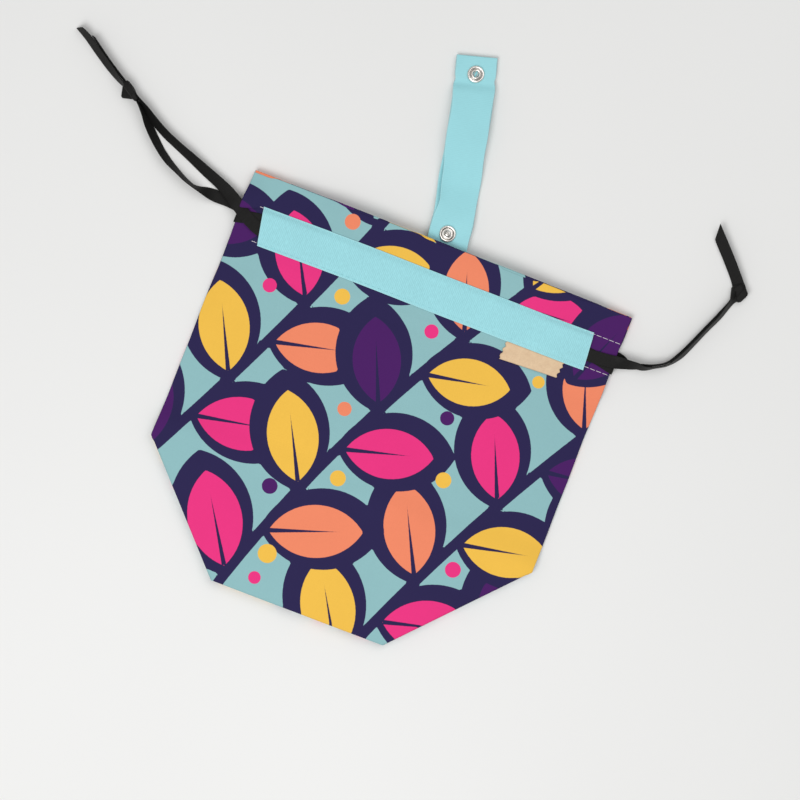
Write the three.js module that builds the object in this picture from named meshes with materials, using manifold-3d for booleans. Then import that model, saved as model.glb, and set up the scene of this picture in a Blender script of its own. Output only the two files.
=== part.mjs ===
// A drawstring project bag of lined cotton, lying on its back with its boxed base folded flat inside.
// Millimetres, +Z up. x runs across the bag, y = 0 is the mouth with +y towards the strap, and the
// bag lies on z = 0. "down" is the distance below the mouth. The last lines centre the whole bag.

import * as THREE from 'three';
import Module from 'manifold-3d';

const { lerp, smoothstep, clamp, degToRad } = THREE.MathUtils;
const wasm = await Module();
wasm.setup();

// Cloth, ribbon and clearance
const WALL = 1.2;
const GAP = 0.3;
const BAND_THICKNESS = 0.8;
const TAPE_WIDTH = 8;
const TAPE_THICKNESS = 0.5;
const TAG_THICKNESS = 0.8;
const STRAP_WIDTH = 26;
const STRAP_THICKNESS = 1.4;

// Outline of the bag: the side seams end at the corners, and the chamfers and the bottom are folds
const HALF_WIDTH = 127;
const SIDE_LEFT = 178.5;
const SIDE_RIGHT = 171.5;
const BOTTOM_LEFT = { x: -59, down: 249.8 };
const BOTTOM_RIGHT = { x: 56.5, down: 248.6 };

// The two tapes in a casing lie in two layers, and the back casing lifts the back wall by its height
const LAYER = TAPE_THICKNESS + GAP;
const CHANNEL = GAP + 2 * LAYER;
const BACK_LIFT = BAND_THICKNESS + CHANNEL;
const LIFT_FALLS = { from: 48, to: 60 };

// Near the corners the side edges open from two layers of cloth to the four of the folded base
const FOLD_RISE = { from: 150, to: 171, height: 4.2 };

// How much higher the middle of the front wall lies than its side edges
const CROWN = [
  { down: 0, height: 5.6 },
  { down: 48, height: 5.6 },
  { down: 60, height: 8.0 },
  { down: 110, height: 8.4 },
  { down: 150, height: 8.0 },
  { down: 175, height: 4.2 },
  { down: 215, height: 3.2 },
  { down: 250, height: 0.8 },
];

// Lines across a wall, by how far down their two ends lie, with the rows up to the next line
const WALL_LINES = [
  { left: 0, right: 0, rows: 2 },
  { left: 48, right: 48, rows: 4 },
  { left: 60, right: 60, rows: 3 },
  { left: 110, right: 110, rows: 2 },
  { left: 150, right: 150, rows: 4 },
  { left: SIDE_LEFT, right: SIDE_RIGHT, rows: 7 },
  { left: BOTTOM_LEFT.down, right: BOTTOM_RIGHT.down, rows: 0 },
];
const FRONT_COLUMNS = 18;
const BACK_COLUMNS = 6;

// The folded base: the gap between its two halves widens from the crease inside to the bottom edge
const BASE_GAP = { crease: GAP, edge: 0.9 };
const BASE_ROWS = 7;
const POCKET_OPENING = 3;
const FOLD_INSET = 0.05;
const IN_WALL = { pocket: 0.3, block: 0.6 };

// Front casing band: its four corners, and the lines along it with the share of the full tunnel height
const BAND = {
  topLeft: { x: -113.5, y: -19.4 },
  topRight: { x: 108.3, y: -17.3 },
  bottomLeft: { x: -108.5, y: -44.0 },
  bottomRight: { x: 110.4, y: -41.9 },
};
const BAND_LINES = [
  { across: 0, arch: 0 },
  { across: 0.04, arch: 0 },
  { across: 0.12, arch: 1 },
  { across: 0.5, arch: 1 },
  { across: 0.88, arch: 1 },
  { across: 0.96, arch: 0 },
  { across: 1, arch: 0 },
];
const BAND_COLUMNS = 18;

// Tag under the band, with pinked ends
const TAG = {
  topLeft: { x: 58.6, y: -42.8 },
  topRight: { x: 98.4, y: -42.5 },
  bottomLeft: { x: 57.4, y: -54.4 },
  bottomRight: { x: 96.6, y: -52.4 },
};
const TAG_TEETH = 4;
const TAG_TOOTH = 1.1;
const TAG_COLUMNS = 4;

// Strap: the middle of its mouth and far ends, and how deep its sewn end reaches into the bag
const STRAP_MOUTH = { x: 2.0, y: 1.3 };
const STRAP_END = { x: -23.5, y: 117.9 };
const STRAP_SEWN = 26;
const STRAP_FALLS = { from: 13, to: 42 };
const STRAP_ROWS = 24;

// Press snap, measured in radius and height above the strap
const SOCKET_PLACE = { x: -20.1, y: 106.9 };
const SOCKET_RING = [
  { radius: 1.9, height: 0 },
  { radius: 5.4, height: 0 },
  { radius: 5.4, height: 0.9 },
  { radius: 4.9, height: 1.6 },
  { radius: 4.1, height: 1.8 },
  { radius: 3.5, height: 1.4 },
  { radius: 2.8, height: 1.9 },
  { radius: 2.2, height: 1.9 },
  { radius: 1.9, height: 1.5 },
  { radius: 1.9, height: 0 },
];
const STUD_PLACE = { x: 0, y: 6.9 };
const STUD_PROFILE = [
  { radius: 0, height: 0 },
  { radius: 5.25, height: 0 },
  { radius: 5.25, height: 0.8 },
  { radius: 4.7, height: 1.5 },
  { radius: 4.0, height: 1.4 },
  { radius: 3.4, height: 0.8 },
  { radius: 2.2, height: 0.8 },
  { radius: 1.8, height: 1.5 },
  { radius: 2.1, height: 2.7 },
  { radius: 1.5, height: 3.4 },
  { radius: 0, height: 3.6 },
];
const SNAP_SIDES = 28;

// Drawstrings: knots lie on the surface, and the tapes end just outside them
const FLOOR_CLEARANCE = 0.2;
const KNOT_RADIUS = 5.5;
const KNOT_REACH = KNOT_RADIUS + 0.4;
const KNOT_PROFILE = [
  { radius: 0, height: 0 },
  { radius: 4.6, height: 0 },
  { radius: KNOT_RADIUS, height: 0.8 },
  { radius: KNOT_RADIUS, height: 2.8 },
  { radius: 4.2, height: 4.0 },
  { radius: 0, height: 4.2 },
];
const KNOT_SIDES = 12;
const KNOT_LEFT = { x: -219, y: 16.4 };
const KNOT_RIGHT = { x: 184.7, y: 39.5 };
const ROUTE_STEPS = 3;
const TURN_STEPS = 6;
const TURN_REACH = 1.0;
const RUN_STEP = 12;

// Run of each tape inside the casings, from its own end to the far side, where it turns round the edge.
// Layer 0 lies on the cloth and layer 1 on the other tape.
const LEFT_RUN = [
  { x: -104.2, y: -31.2, layer: 1 },
  { x: -94, y: -29.5, layer: 1 },
  { x: -80, y: -26.5, layer: 1 },
  { x: -25, y: -26.5, layer: 1 },
  { x: 25, y: -26.5, layer: 0 },
  { x: 80, y: -26.5, layer: 0 },
  { x: 100, y: -30, layer: 0 },
  { x: 114, y: -31.5, layer: 0 },
  { x: HALF_WIDTH, y: -31.5, layer: 0 },
];
const RIGHT_RUN = [
  { x: 104.2, y: -32.2, layer: 1 },
  { x: 94, y: -33, layer: 1 },
  { x: 80, y: -35, layer: 1 },
  { x: 25, y: -35, layer: 1 },
  { x: -25, y: -35, layer: 0 },
  { x: -80, y: -35, layer: 0 },
  { x: -100, y: -33, layer: 0 },
  { x: -114, y: -31.5, layer: 0 },
  { x: -HALF_WIDTH, y: -31.5, layer: 0 },
];

// Outline edges and heights of the cloth

function leftEdge(down) {
  const share = clamp((down - SIDE_LEFT) / (BOTTOM_LEFT.down - SIDE_LEFT), 0, 1);
  return lerp(-HALF_WIDTH, BOTTOM_LEFT.x, share);
}

function rightEdge(down) {
  const share = clamp((down - SIDE_RIGHT) / (BOTTOM_RIGHT.down - SIDE_RIGHT), 0, 1);
  return lerp(HALF_WIDTH, BOTTOM_RIGHT.x, share);
}

function crownAt(down) {
  const next = CROWN.findIndex((row, k) => k > 0 && (down <= row.down || k === CROWN.length - 1));
  const share = clamp((down - CROWN[next - 1].down) / (CROWN[next].down - CROWN[next - 1].down), 0, 1);
  return lerp(CROWN[next - 1].height, CROWN[next].height, share);
}

function backLow(x, y) {
  return BACK_LIFT * (1 - smoothstep(-y, LIFT_FALLS.from, LIFT_FALLS.to));
}

function backTop(x, y) {
  return backLow(x, y) + WALL;
}

function frontLow(x, y) {
  const left = leftEdge(-y);
  const right = rightEdge(-y);
  const across = clamp(Math.abs(2 * x - left - right) / (right - left), 0, 1);
  const seam = backTop(x, y) + GAP + FOLD_RISE.height * smoothstep(-y, FOLD_RISE.from, FOLD_RISE.to);
  return seam + crownAt(-y) * (1 - across ** 3);
}

function frontTop(x, y) {
  return frontLow(x, y) + WALL;
}

function baseMiddle(x, y) {
  return (backTop(x, y) + frontLow(x, y)) / 2;
}

function baseHalfGap(x, y) {
  const crease = (SIDE_LEFT + SIDE_RIGHT) / 2;
  const share = clamp((-y - crease) / (BOTTOM_LEFT.down - crease), 0, 1);
  return lerp(BASE_GAP.crease, BASE_GAP.edge, share) / 2;
}

// Solids

function closedGeometry(positions, triangles) {
  const geometry = new THREE.BufferGeometry();
  geometry.setAttribute('position', new THREE.Float32BufferAttribute(positions, 3));
  geometry.setIndex(triangles);
  return geometry;
}

// A sheet between two height functions. Each line runs from its left to its right end, and the
// lines follow each other down the bag. The share passed to the heights runs from 0 to 1 over the lines.
function slab(lines, columns, low, high) {
  const positions = [];
  const triangles = [];
  const width = columns + 1;
  const layer = lines.length * width;
  for (const height of [high, low]) {
    lines.forEach(([left, right], row) => {
      for (let k = 0; k < width; k += 1) {
        const x = lerp(left.x, right.x, k / columns);
        const y = lerp(left.y, right.y, k / columns);
        positions.push(x, y, height(x, y, row));
      }
    });
  }
  const quad = (a, b, c, d) => triangles.push(a, b, c, a, c, d);
  for (let row = 0; row + 1 < lines.length; row += 1) {
    for (let k = 0; k < columns; k += 1) {
      const a = row * width + k;
      const c = a + width;
      quad(a, c, c + 1, a + 1);
      quad(layer + a, layer + a + 1, layer + c + 1, layer + c);
    }
    const start = row * width;
    const end = start + columns;
    quad(start, layer + start, layer + start + width, start + width);
    quad(end, end + width, layer + end + width, layer + end);
  }
  const last = layer - width;
  for (let k = 0; k < columns; k += 1) {
    quad(k, k + 1, layer + k + 1, layer + k);
    quad(last + k, layer + last + k, layer + last + k + 1, last + k + 1);
  }
  return closedGeometry(positions, triangles);
}

// A flat tape through the given points. Its width lies along side, or level where none is given,
// turned about the tape's own line by each point's roll.
function tape(points, side) {
  const positions = [];
  const triangles = [];
  const corners = [[1, 1], [-1, 1], [-1, -1], [1, -1]];
  points.forEach((point, k) => {
    const tangent = points[Math.min(k + 1, points.length - 1)].place.clone();
    tangent.sub(points[Math.max(k - 1, 0)].place).normalize();
    const level = new THREE.Vector3(0, 0, 1).cross(tangent).normalize();
    const across = (side ?? level).clone().applyAxisAngle(tangent, point.roll);
    const normal = tangent.clone().cross(across).normalize();
    for (const [u, v] of corners) {
      const corner = point.place.clone();
      corner.addScaledVector(across, u * TAPE_WIDTH / 2).addScaledVector(normal, v * TAPE_THICKNESS / 2);
      positions.push(corner.x, corner.y, corner.z);
    }
  });
  for (let k = 0; k + 1 < points.length; k += 1) {
    for (let c = 0; c < corners.length; c += 1) {
      const a = k * corners.length + c;
      const b = k * corners.length + (c + 1) % corners.length;
      const d = a + corners.length;
      const e = b + corners.length;
      triangles.push(a, b, e, a, e, d);
    }
  }
  const end = (points.length - 1) * corners.length;
  triangles.push(0, 2, 1, 0, 3, 2, end, end + 1, end + 2, end, end + 2, end + 3);
  return closedGeometry(positions, triangles);
}

function lathe(profile, sides) {
  const geometry = new THREE.LatheGeometry(profile.map((p) => new THREE.Vector2(p.radius, p.height)), sides);
  return geometry.rotateX(Math.PI / 2);
}

function toManifold(geometry) {
  const mesh = new wasm.Mesh({
    numProp: 3,
    vertProperties: new Float32Array(geometry.getAttribute('position').array),
    triVerts: new Uint32Array(geometry.getIndex().array),
  });
  return new wasm.Manifold(mesh);
}

function fromManifold(solid) {
  const mesh = solid.getMesh();
  return closedGeometry(Array.from(mesh.vertProperties), Array.from(mesh.triVerts));
}

// Bag walls

function wallLine(left, right) {
  return [new THREE.Vector2(leftEdge(left), -left), new THREE.Vector2(rightEdge(right), -right)];
}

function wallLines() {
  const lines = [];
  WALL_LINES.forEach((line, k) => {
    const next = WALL_LINES[k + 1];
    for (let row = 0; row < line.rows; row += 1) {
      const share = row / line.rows;
      lines.push(wallLine(lerp(line.left, next.left, share), lerp(line.right, next.right, share)));
    }
  });
  const bottom = WALL_LINES[WALL_LINES.length - 1];
  lines.push(wallLine(bottom.left, bottom.right));
  return lines;
}

// Lines of the folded base, taken in by inset at the chamfers and the bottom, from start below the crease
function baseLines(inset, start) {
  const lines = [];
  for (let row = 0; row <= BASE_ROWS; row += 1) {
    const share = row / BASE_ROWS;
    const left = lerp(SIDE_LEFT + start, BOTTOM_LEFT.down - inset, share);
    const right = lerp(SIDE_RIGHT + start, BOTTOM_RIGHT.down - inset, share);
    const [a, b] = wallLine(left, right);
    a.x += inset * Math.SQRT2;
    b.x -= inset * Math.SQRT2;
    lines.push([a, b]);
  }
  return lines;
}

// A wall with its half of the base: a block under the panel, hollowed to a folded sheet and joined to it
function foldedWall(panel, block, pocket) {
  const base = toManifold(block).subtract(toManifold(pocket));
  return fromManifold(toManifold(panel).add(base));
}

function frontWall() {
  const flapLow = (x, y) => baseMiddle(x, y) + baseHalfGap(x, y);
  const flapTop = (x, y) => flapLow(x, y) + WALL;
  const panel = slab(wallLines(), FRONT_COLUMNS, frontLow, frontTop);
  const block = slab(baseLines(FOLD_INSET, 0), FRONT_COLUMNS, flapLow, (x, y) => frontLow(x, y) + IN_WALL.block);
  const ceiling = (x, y) => frontLow(x, y) + IN_WALL.pocket;
  const pocket = slab(baseLines(WALL, -POCKET_OPENING), FRONT_COLUMNS, flapTop, ceiling);
  return foldedWall(panel, block, pocket);
}

function backWall() {
  const flapTop = (x, y) => baseMiddle(x, y) - baseHalfGap(x, y);
  const flapLow = (x, y) => flapTop(x, y) - WALL;
  const panel = slab(wallLines(), BACK_COLUMNS, backLow, backTop);
  const block = slab(baseLines(FOLD_INSET, 0), FRONT_COLUMNS, (x, y) => backTop(x, y) - IN_WALL.block, flapTop);
  const floor = (x, y) => backTop(x, y) - IN_WALL.pocket;
  const pocket = slab(baseLines(WALL, -POCKET_OPENING), FRONT_COLUMNS, floor, flapLow);
  return foldedWall(panel, block, pocket);
}

// Casing bands, tag and strap

function cornerLine(corners, share) {
  const left = new THREE.Vector2().copy(corners.topLeft).lerp(corners.bottomLeft, share);
  const right = new THREE.Vector2().copy(corners.topRight).lerp(corners.bottomRight, share);
  return [left, right];
}

function bandLines() {
  return BAND_LINES.map((line) => cornerLine(BAND, line.across));
}

function frontBand() {
  const rise = (row) => GAP + (CHANNEL - GAP) * BAND_LINES[row].arch;
  const low = (x, y, row) => frontTop(x, y) + rise(row);
  return slab(bandLines(), BAND_COLUMNS, low, (x, y, row) => low(x, y, row) + BAND_THICKNESS);
}

function backBand() {
  const low = (x, y, row) => (CHANNEL - GAP) * (1 - BAND_LINES[row].arch);
  return slab(bandLines(), 1, low, (x, y, row) => low(x, y, row) + BAND_THICKNESS);
}

function tag() {
  const lines = [];
  for (let k = 0; k <= 2 * TAG_TEETH; k += 1) {
    const [left, right] = cornerLine(TAG, k / (2 * TAG_TEETH));
    left.x += k % 2 === 0 ? 0 : TAG_TOOTH;
    right.x -= k % 2 === 0 ? TAG_TOOTH : 0;
    lines.push([left, right]);
  }
  const low = (x, y) => frontTop(x, y) + GAP;
  return slab(lines, TAG_COLUMNS, low, (x, y) => low(x, y) + TAG_THICKNESS);
}

function strapLow(x, y) {
  return (BACK_LIFT + WALL + GAP) * (1 - smoothstep(y, STRAP_FALLS.from, STRAP_FALLS.to));
}

function strap() {
  const start = new THREE.Vector2().copy(STRAP_END);
  const lengthways = new THREE.Vector2().copy(STRAP_MOUTH).sub(start);
  const length = lengthways.length() + STRAP_SEWN;
  lengthways.normalize();
  const across = new THREE.Vector2(-lengthways.y, lengthways.x);
  const lines = [];
  for (let row = 0; row <= STRAP_ROWS; row += 1) {
    const middle = start.clone().addScaledVector(lengthways, length * row / STRAP_ROWS);
    const left = middle.clone().addScaledVector(across, -STRAP_WIDTH / 2);
    const right = middle.clone().addScaledVector(across, STRAP_WIDTH / 2);
    lines.push([left, right]);
  }
  return slab(lines, 2, strapLow, (x, y) => strapLow(x, y) + STRAP_THICKNESS);
}

// Drawstrings

function onFront(x, y, layer) {
  return frontTop(x, y) + GAP + TAPE_THICKNESS / 2 + layer * LAYER;
}

function onBack(x, y, layer) {
  return backLow(x, y) - GAP - TAPE_THICKNESS / 2 - layer * LAYER;
}

// Height of a tape's middle line where the tape lies on the surface, on one edge if rolled
function lying(roll, layer) {
  const angle = degToRad(roll);
  const reach = TAPE_WIDTH / 2 * Math.sin(angle) + TAPE_THICKNESS / 2 * Math.cos(angle);
  return FLOOR_CLEARANCE + reach + layer * LAYER;
}

function fromKnot(knot, bearing, distance, z) {
  const angle = degToRad(bearing);
  return { x: knot.x + distance * Math.cos(angle), y: knot.y + distance * Math.sin(angle), z, roll: 0 };
}

function smoothTape(route) {
  const places = route.map((point) => new THREE.Vector3(point.x, point.y, point.z));
  const curve = new THREE.CatmullRomCurve3(places, false, 'centripetal');
  const samples = [];
  const count = (route.length - 1) * ROUTE_STEPS;
  for (let k = 0; k <= count; k += 1) {
    const from = route[Math.floor(k / ROUTE_STEPS)];
    const to = route[Math.ceil(k / ROUTE_STEPS)];
    const roll = lerp(from.roll, to.roll, (k % ROUTE_STEPS) / ROUTE_STEPS);
    samples.push({ place: curve.getPoint(k / count), roll: degToRad(roll) });
  }
  return tape(samples);
}

// A tape's run through the front casing, round the far edge of the bag and back through the back casing
function casingRun(rows) {
  const plan = [];
  for (let k = 0; k + 1 < rows.length; k += 1) {
    const steps = Math.ceil(Math.abs(rows[k + 1].x - rows[k].x) / RUN_STEP);
    for (let step = 0; step < steps; step += 1) {
      const share = step / steps;
      plan.push({
        x: lerp(rows[k].x, rows[k + 1].x, share),
        y: lerp(rows[k].y, rows[k + 1].y, share),
        layer: lerp(rows[k].layer, rows[k + 1].layer, share),
      });
    }
  }
  const far = rows[rows.length - 1];
  const outward = Math.sign(far.x);
  const top = onFront(far.x, far.y, far.layer);
  const bottom = onBack(far.x, far.y, far.layer);
  const places = plan.map((p) => new THREE.Vector3(p.x, p.y, onFront(p.x, p.y, p.layer)));
  for (let step = 0; step <= TURN_STEPS; step += 1) {
    const angle = Math.PI * step / TURN_STEPS;
    const x = far.x + outward * TURN_REACH * Math.sin(angle);
    const z = (top + bottom) / 2 + (top - bottom) / 2 * Math.cos(angle);
    places.push(new THREE.Vector3(x, far.y, z));
  }
  for (const p of plan.reverse()) {
    places.push(new THREE.Vector3(p.x, p.y, onBack(p.x, p.y, p.layer)));
  }
  return tape(places.map((place) => ({ place, roll: 0 })), new THREE.Vector3(0, outward, 0));
}

const LEFT_FRONT = [
  { x: -104.6, y: -31.3, z: onFront(-104.6, -31.3, 1), roll: 0 },
  { x: -111.3, y: -31.5, z: onFront(-111.3, -31.5, 1), roll: 0 },
  { x: -119, y: -29.0, z: onFront(-119, -29.0, 1), roll: 0 },
  { x: -127, y: -26.0, z: onFront(-127, -26.0, 1), roll: 0 },
  { x: -130.5, y: -23.8, z: 6.2, roll: 0 },
  { x: -136, y: -19.4, z: 3.4, roll: 0 },
  { x: -143, y: -15.0, z: 1.0, roll: 0 },
  { x: -151, y: -11.0, z: lying(0, 0), roll: 0 },
  { x: -169, y: -4.6, z: lying(0, 0), roll: 0 },
  { x: -181, y: -1.8, z: lying(0, 0.5), roll: 0 },
  { x: -190, y: 1.0, z: lying(0, 1), roll: 0 },
  { x: -203, y: 8.2, z: lying(0, 1), roll: 0 },
  fromKnot(KNOT_LEFT, -26, KNOT_REACH, lying(0, 1)),
];

const LEFT_BACK = [
  { x: -104.6, y: -31.3, z: onBack(-104.6, -31.3, 1), roll: 0 },
  { x: -111.3, y: -31.5, z: onBack(-111.3, -31.5, 1), roll: 0 },
  { x: -119, y: -30.6, z: onBack(-119, -30.6, 1), roll: 0 },
  { x: -127, y: -28.6, z: onBack(-127, -28.6, 1), roll: 0 },
  { x: -138.9, y: -25.8, z: 0.8, roll: 0 },
  { x: -148, y: -25.0, z: lying(30, 0), roll: 30 },
  { x: -158.5, y: -23.2, z: lying(60, 0), roll: 60 },
  { x: -168, y: -20.6, z: lying(60, 0), roll: 60 },
  { x: -177, y: -17.0, z: lying(35, 0), roll: 35 },
  { x: -185, y: -12.3, z: lying(0, 0), roll: 0 },
  { x: -193, y: -5.5, z: lying(0, 0), roll: 0 },
  { x: -202, y: 6.0, z: lying(0, 0), roll: 0 },
  { x: -207.5, y: 10.2, z: lying(0, 0), roll: 0 },
  fromKnot(KNOT_LEFT, -26, KNOT_REACH, lying(0, 0)),
];

const LEFT_TAIL_LOWER = [
  fromKnot(KNOT_LEFT, 149, KNOT_REACH, lying(0, 0)),
  { x: -233, y: 24.6, z: lying(0, 0), roll: 0 },
  { x: -248, y: 33.2, z: lying(0, 0), roll: 0 },
  { x: -262.6, y: 43.3, z: lying(0, 0), roll: 0 },
];

const LEFT_TAIL_UPPER = [
  fromKnot(KNOT_LEFT, 145, KNOT_REACH, lying(0, 1)),
  { x: -231, y: 25.4, z: lying(0, 1), roll: 0 },
  { x: -243, y: 34.2, z: lying(0, 1), roll: 0 },
  { x: -253.9, y: 43.5, z: lying(0, 1), roll: 0 },
];

const RIGHT_FRONT = [
  { x: 104.6, y: -32.2, z: onFront(104.6, -32.2, 1), roll: 0 },
  { x: 112.3, y: -32.4, z: onFront(112.3, -32.4, 1), roll: 0 },
  { x: 120, y: -31.6, z: onFront(120, -31.6, 1), roll: 0 },
  { x: 127, y: -30.2, z: onFront(127, -30.2, 1), roll: 0 },
  { x: 130.5, y: -29.4, z: 6.2, roll: 0 },
  { x: 136, y: -28.2, z: 3.6, roll: 0 },
  { x: 143, y: -26.0, z: 2.2, roll: 0 },
  { x: 150.5, y: -22.8, z: lying(20, 1.8), roll: 20 },
  { x: 157.5, y: -17.4, z: lying(40, 1.6), roll: 40 },
  { x: 162.9, y: -10.3, z: lying(42, 1.6), roll: 42 },
  { x: 168.6, y: 0.6, z: lying(42, 1.6), roll: 42 },
  { x: 173.3, y: 11.6, z: lying(36, 1.8), roll: 36 },
  { x: 178.0, y: 23.6, z: lying(18, 1.9), roll: 18 },
  fromKnot(KNOT_RIGHT, 246, KNOT_REACH, lying(0, 1.3)),
];

const RIGHT_BACK = [
  { x: 104.6, y: -32.2, z: onBack(104.6, -32.2, 1), roll: 0 },
  { x: 112.3, y: -31.8, z: onBack(112.3, -31.8, 1), roll: 0 },
  { x: 120, y: -29.2, z: onBack(120, -29.2, 1), roll: 0 },
  { x: 127, y: -26.8, z: onBack(127, -26.8, 1), roll: 0 },
  { x: 135, y: -25.6, z: 0.6, roll: 0 },
  { x: 143, y: -25.6, z: lying(0, 0), roll: 0 },
  { x: 150.5, y: -22.8, z: lying(20, 0), roll: 20 },
  { x: 157.5, y: -17.4, z: lying(40, 0), roll: 40 },
  { x: 162.9, y: -10.3, z: lying(42, 0), roll: 42 },
  { x: 168.6, y: 0.6, z: lying(42, 0), roll: 42 },
  { x: 173.3, y: 11.6, z: lying(36, 0), roll: 36 },
  { x: 178.0, y: 23.6, z: lying(18, 0), roll: 18 },
  fromKnot(KNOT_RIGHT, 246, KNOT_REACH, lying(0, 0)),
];

const RIGHT_TAIL_UPPER = [
  fromKnot(KNOT_RIGHT, 122, KNOT_REACH, lying(0, 1)),
  { x: 173.0, y: 58.2, z: lying(0, 1), roll: 0 },
  { x: 164.5, y: 66.8, z: lying(0, 1), roll: 0 },
  { x: 156.0, y: 75.2, z: lying(0, 1), roll: 0 },
];

const RIGHT_TAIL_LOWER = [
  fromKnot(KNOT_RIGHT, 122, KNOT_REACH, lying(0, 0)),
  { x: 172.4, y: 57.4, z: lying(0, 0), roll: 0 },
  { x: 163.6, y: 65.6, z: lying(0, 0), roll: 0 },
  { x: 155.6, y: 73.2, z: lying(0, 0), roll: 0 },
];

// Materials

function finish(color, roughness, metalness) {
  return new THREE.MeshStandardMaterial({ color, roughness, metalness });
}

const PRINTED_COTTON = finish('#8cc3c3', 0.85, 0);
const AQUA_RIBBON = finish('#98dce4', 0.75, 0);
const BLACK_TAPE = finish('#1c1b1a', 0.7, 0);
const TAN_TAG = finish('#ddbe98', 0.8, 0);
const SILVER = finish('#c8c4bc', 0.25, 1);

// Assembly

function piece(name, geometry, material, place = new THREE.Vector3()) {
  const mesh = new THREE.Mesh(geometry, material);
  mesh.name = name;
  mesh.position.copy(place);
  return mesh;
}

function snapPlace(place) {
  return new THREE.Vector3(place.x, place.y, strapLow(place.x, place.y) + STRAP_THICKNESS + GAP);
}

function knotPlace(knot) {
  return new THREE.Vector3(knot.x, knot.y, FLOOR_CLEARANCE);
}

const bag = new THREE.Group();
bag.add(
  piece('bag_front', frontWall(), PRINTED_COTTON),
  piece('bag_back', backWall(), PRINTED_COTTON),
  piece('casing_band_front', frontBand(), AQUA_RIBBON),
  piece('casing_band_back', backBand(), AQUA_RIBBON),
  piece('side_tag', tag(), TAN_TAG),
  piece('snap_strap', strap(), AQUA_RIBBON),
  piece('snap_socket', lathe(SOCKET_RING, SNAP_SIDES), SILVER, snapPlace(SOCKET_PLACE)),
  piece('snap_stud', lathe(STUD_PROFILE, SNAP_SIDES), SILVER, snapPlace(STUD_PLACE)),
);

const strings = new THREE.Group();
strings.add(
  piece('string_left_run', casingRun(LEFT_RUN), BLACK_TAPE),
  piece('string_left_front', smoothTape(LEFT_FRONT), BLACK_TAPE),
  piece('string_left_back', smoothTape(LEFT_BACK), BLACK_TAPE),
  piece('knot_left', lathe(KNOT_PROFILE, KNOT_SIDES), BLACK_TAPE, knotPlace(KNOT_LEFT)),
  piece('tail_left_upper', smoothTape(LEFT_TAIL_UPPER), BLACK_TAPE),
  piece('tail_left_lower', smoothTape(LEFT_TAIL_LOWER), BLACK_TAPE),
  piece('string_right_run', casingRun(RIGHT_RUN), BLACK_TAPE),
  piece('string_right_front', smoothTape(RIGHT_FRONT), BLACK_TAPE),
  piece('string_right_back', smoothTape(RIGHT_BACK), BLACK_TAPE),
  piece('knot_right', lathe(KNOT_PROFILE, KNOT_SIDES), BLACK_TAPE, knotPlace(KNOT_RIGHT)),
  piece('tail_right_upper', smoothTape(RIGHT_TAIL_UPPER), BLACK_TAPE),
  piece('tail_right_lower', smoothTape(RIGHT_TAIL_LOWER), BLACK_TAPE),
);

// The origin is under the middle of the bag with its strap, on the surface
const centre = new THREE.Box3().setFromObject(bag, true).getCenter(new THREE.Vector3());
const projectBag = new THREE.Group();
projectBag.position.set(-centre.x, -centre.y, 0);
projectBag.add(bag, strings);

export default projectBag;
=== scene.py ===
# Looks of a drawstring project bag of printed cotton, lying flat on its back.
# Lengths are millimetres in the bag's own axes: x across, y = 0 at the mouth with +y towards the strap,
# z up from the floor. "down" is the distance below the mouth. place() turns points into metres of the row.
# Lengths inside the materials are metres.

from math import cos, pi, radians, sin, sqrt

import bpy
import numpy as np
from mathutils import Matrix, Vector


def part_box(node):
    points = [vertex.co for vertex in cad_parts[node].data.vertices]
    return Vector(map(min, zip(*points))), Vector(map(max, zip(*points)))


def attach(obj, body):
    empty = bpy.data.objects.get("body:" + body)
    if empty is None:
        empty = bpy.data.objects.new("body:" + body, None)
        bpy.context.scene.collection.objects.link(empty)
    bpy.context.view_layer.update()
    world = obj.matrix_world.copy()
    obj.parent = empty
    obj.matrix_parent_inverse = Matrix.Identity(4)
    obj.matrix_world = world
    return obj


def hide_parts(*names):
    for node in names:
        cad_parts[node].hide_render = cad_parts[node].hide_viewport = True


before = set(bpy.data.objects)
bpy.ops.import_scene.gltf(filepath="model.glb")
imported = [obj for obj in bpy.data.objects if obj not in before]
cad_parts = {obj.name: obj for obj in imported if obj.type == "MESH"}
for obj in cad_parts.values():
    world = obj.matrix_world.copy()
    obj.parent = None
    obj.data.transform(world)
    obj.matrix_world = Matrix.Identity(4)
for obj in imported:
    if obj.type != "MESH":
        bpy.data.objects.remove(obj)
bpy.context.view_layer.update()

MM = 0.001
MOUTH_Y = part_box("bag_front")[1].y / MM

# Cloth, ribbon and tape
WALL, GAP = 1.2, 0.3
RIBBON, LINING = 0.6, 0.3
BAND_LENGTH, BAND_WIDTH, BAND_THICKNESS = 222.0, 25.0, 0.8
TAG_LENGTH, TAG_WIDTH, TAG_THICKNESS = 39.0, 11.5, 0.8
STRAP_WIDTH = 26.0
TAPE_WIDTH, TAPE_THICKNESS = 8.0, 0.5
BAND_WEAVE, STRAP_WEAVE = 1.6, 0.35
FRONT_STEP, BACK_STEP = 1.45, 2.6

# Outline of the bag
HALF_WIDTH = 127.0
SIDE_LEFT, SIDE_RIGHT = 178.5, 171.5
BOTTOM_LEFT_X, BOTTOM_LEFT_DOWN = -59.0, 249.8
BOTTOM_RIGHT_X, BOTTOM_RIGHT_DOWN = 56.5, 248.6
CORNER = (SIDE_LEFT + SIDE_RIGHT) / 2
BOTTOM = (BOTTOM_LEFT_DOWN + BOTTOM_RIGHT_DOWN) / 2
CORNER_TURN = 3.0

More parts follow.
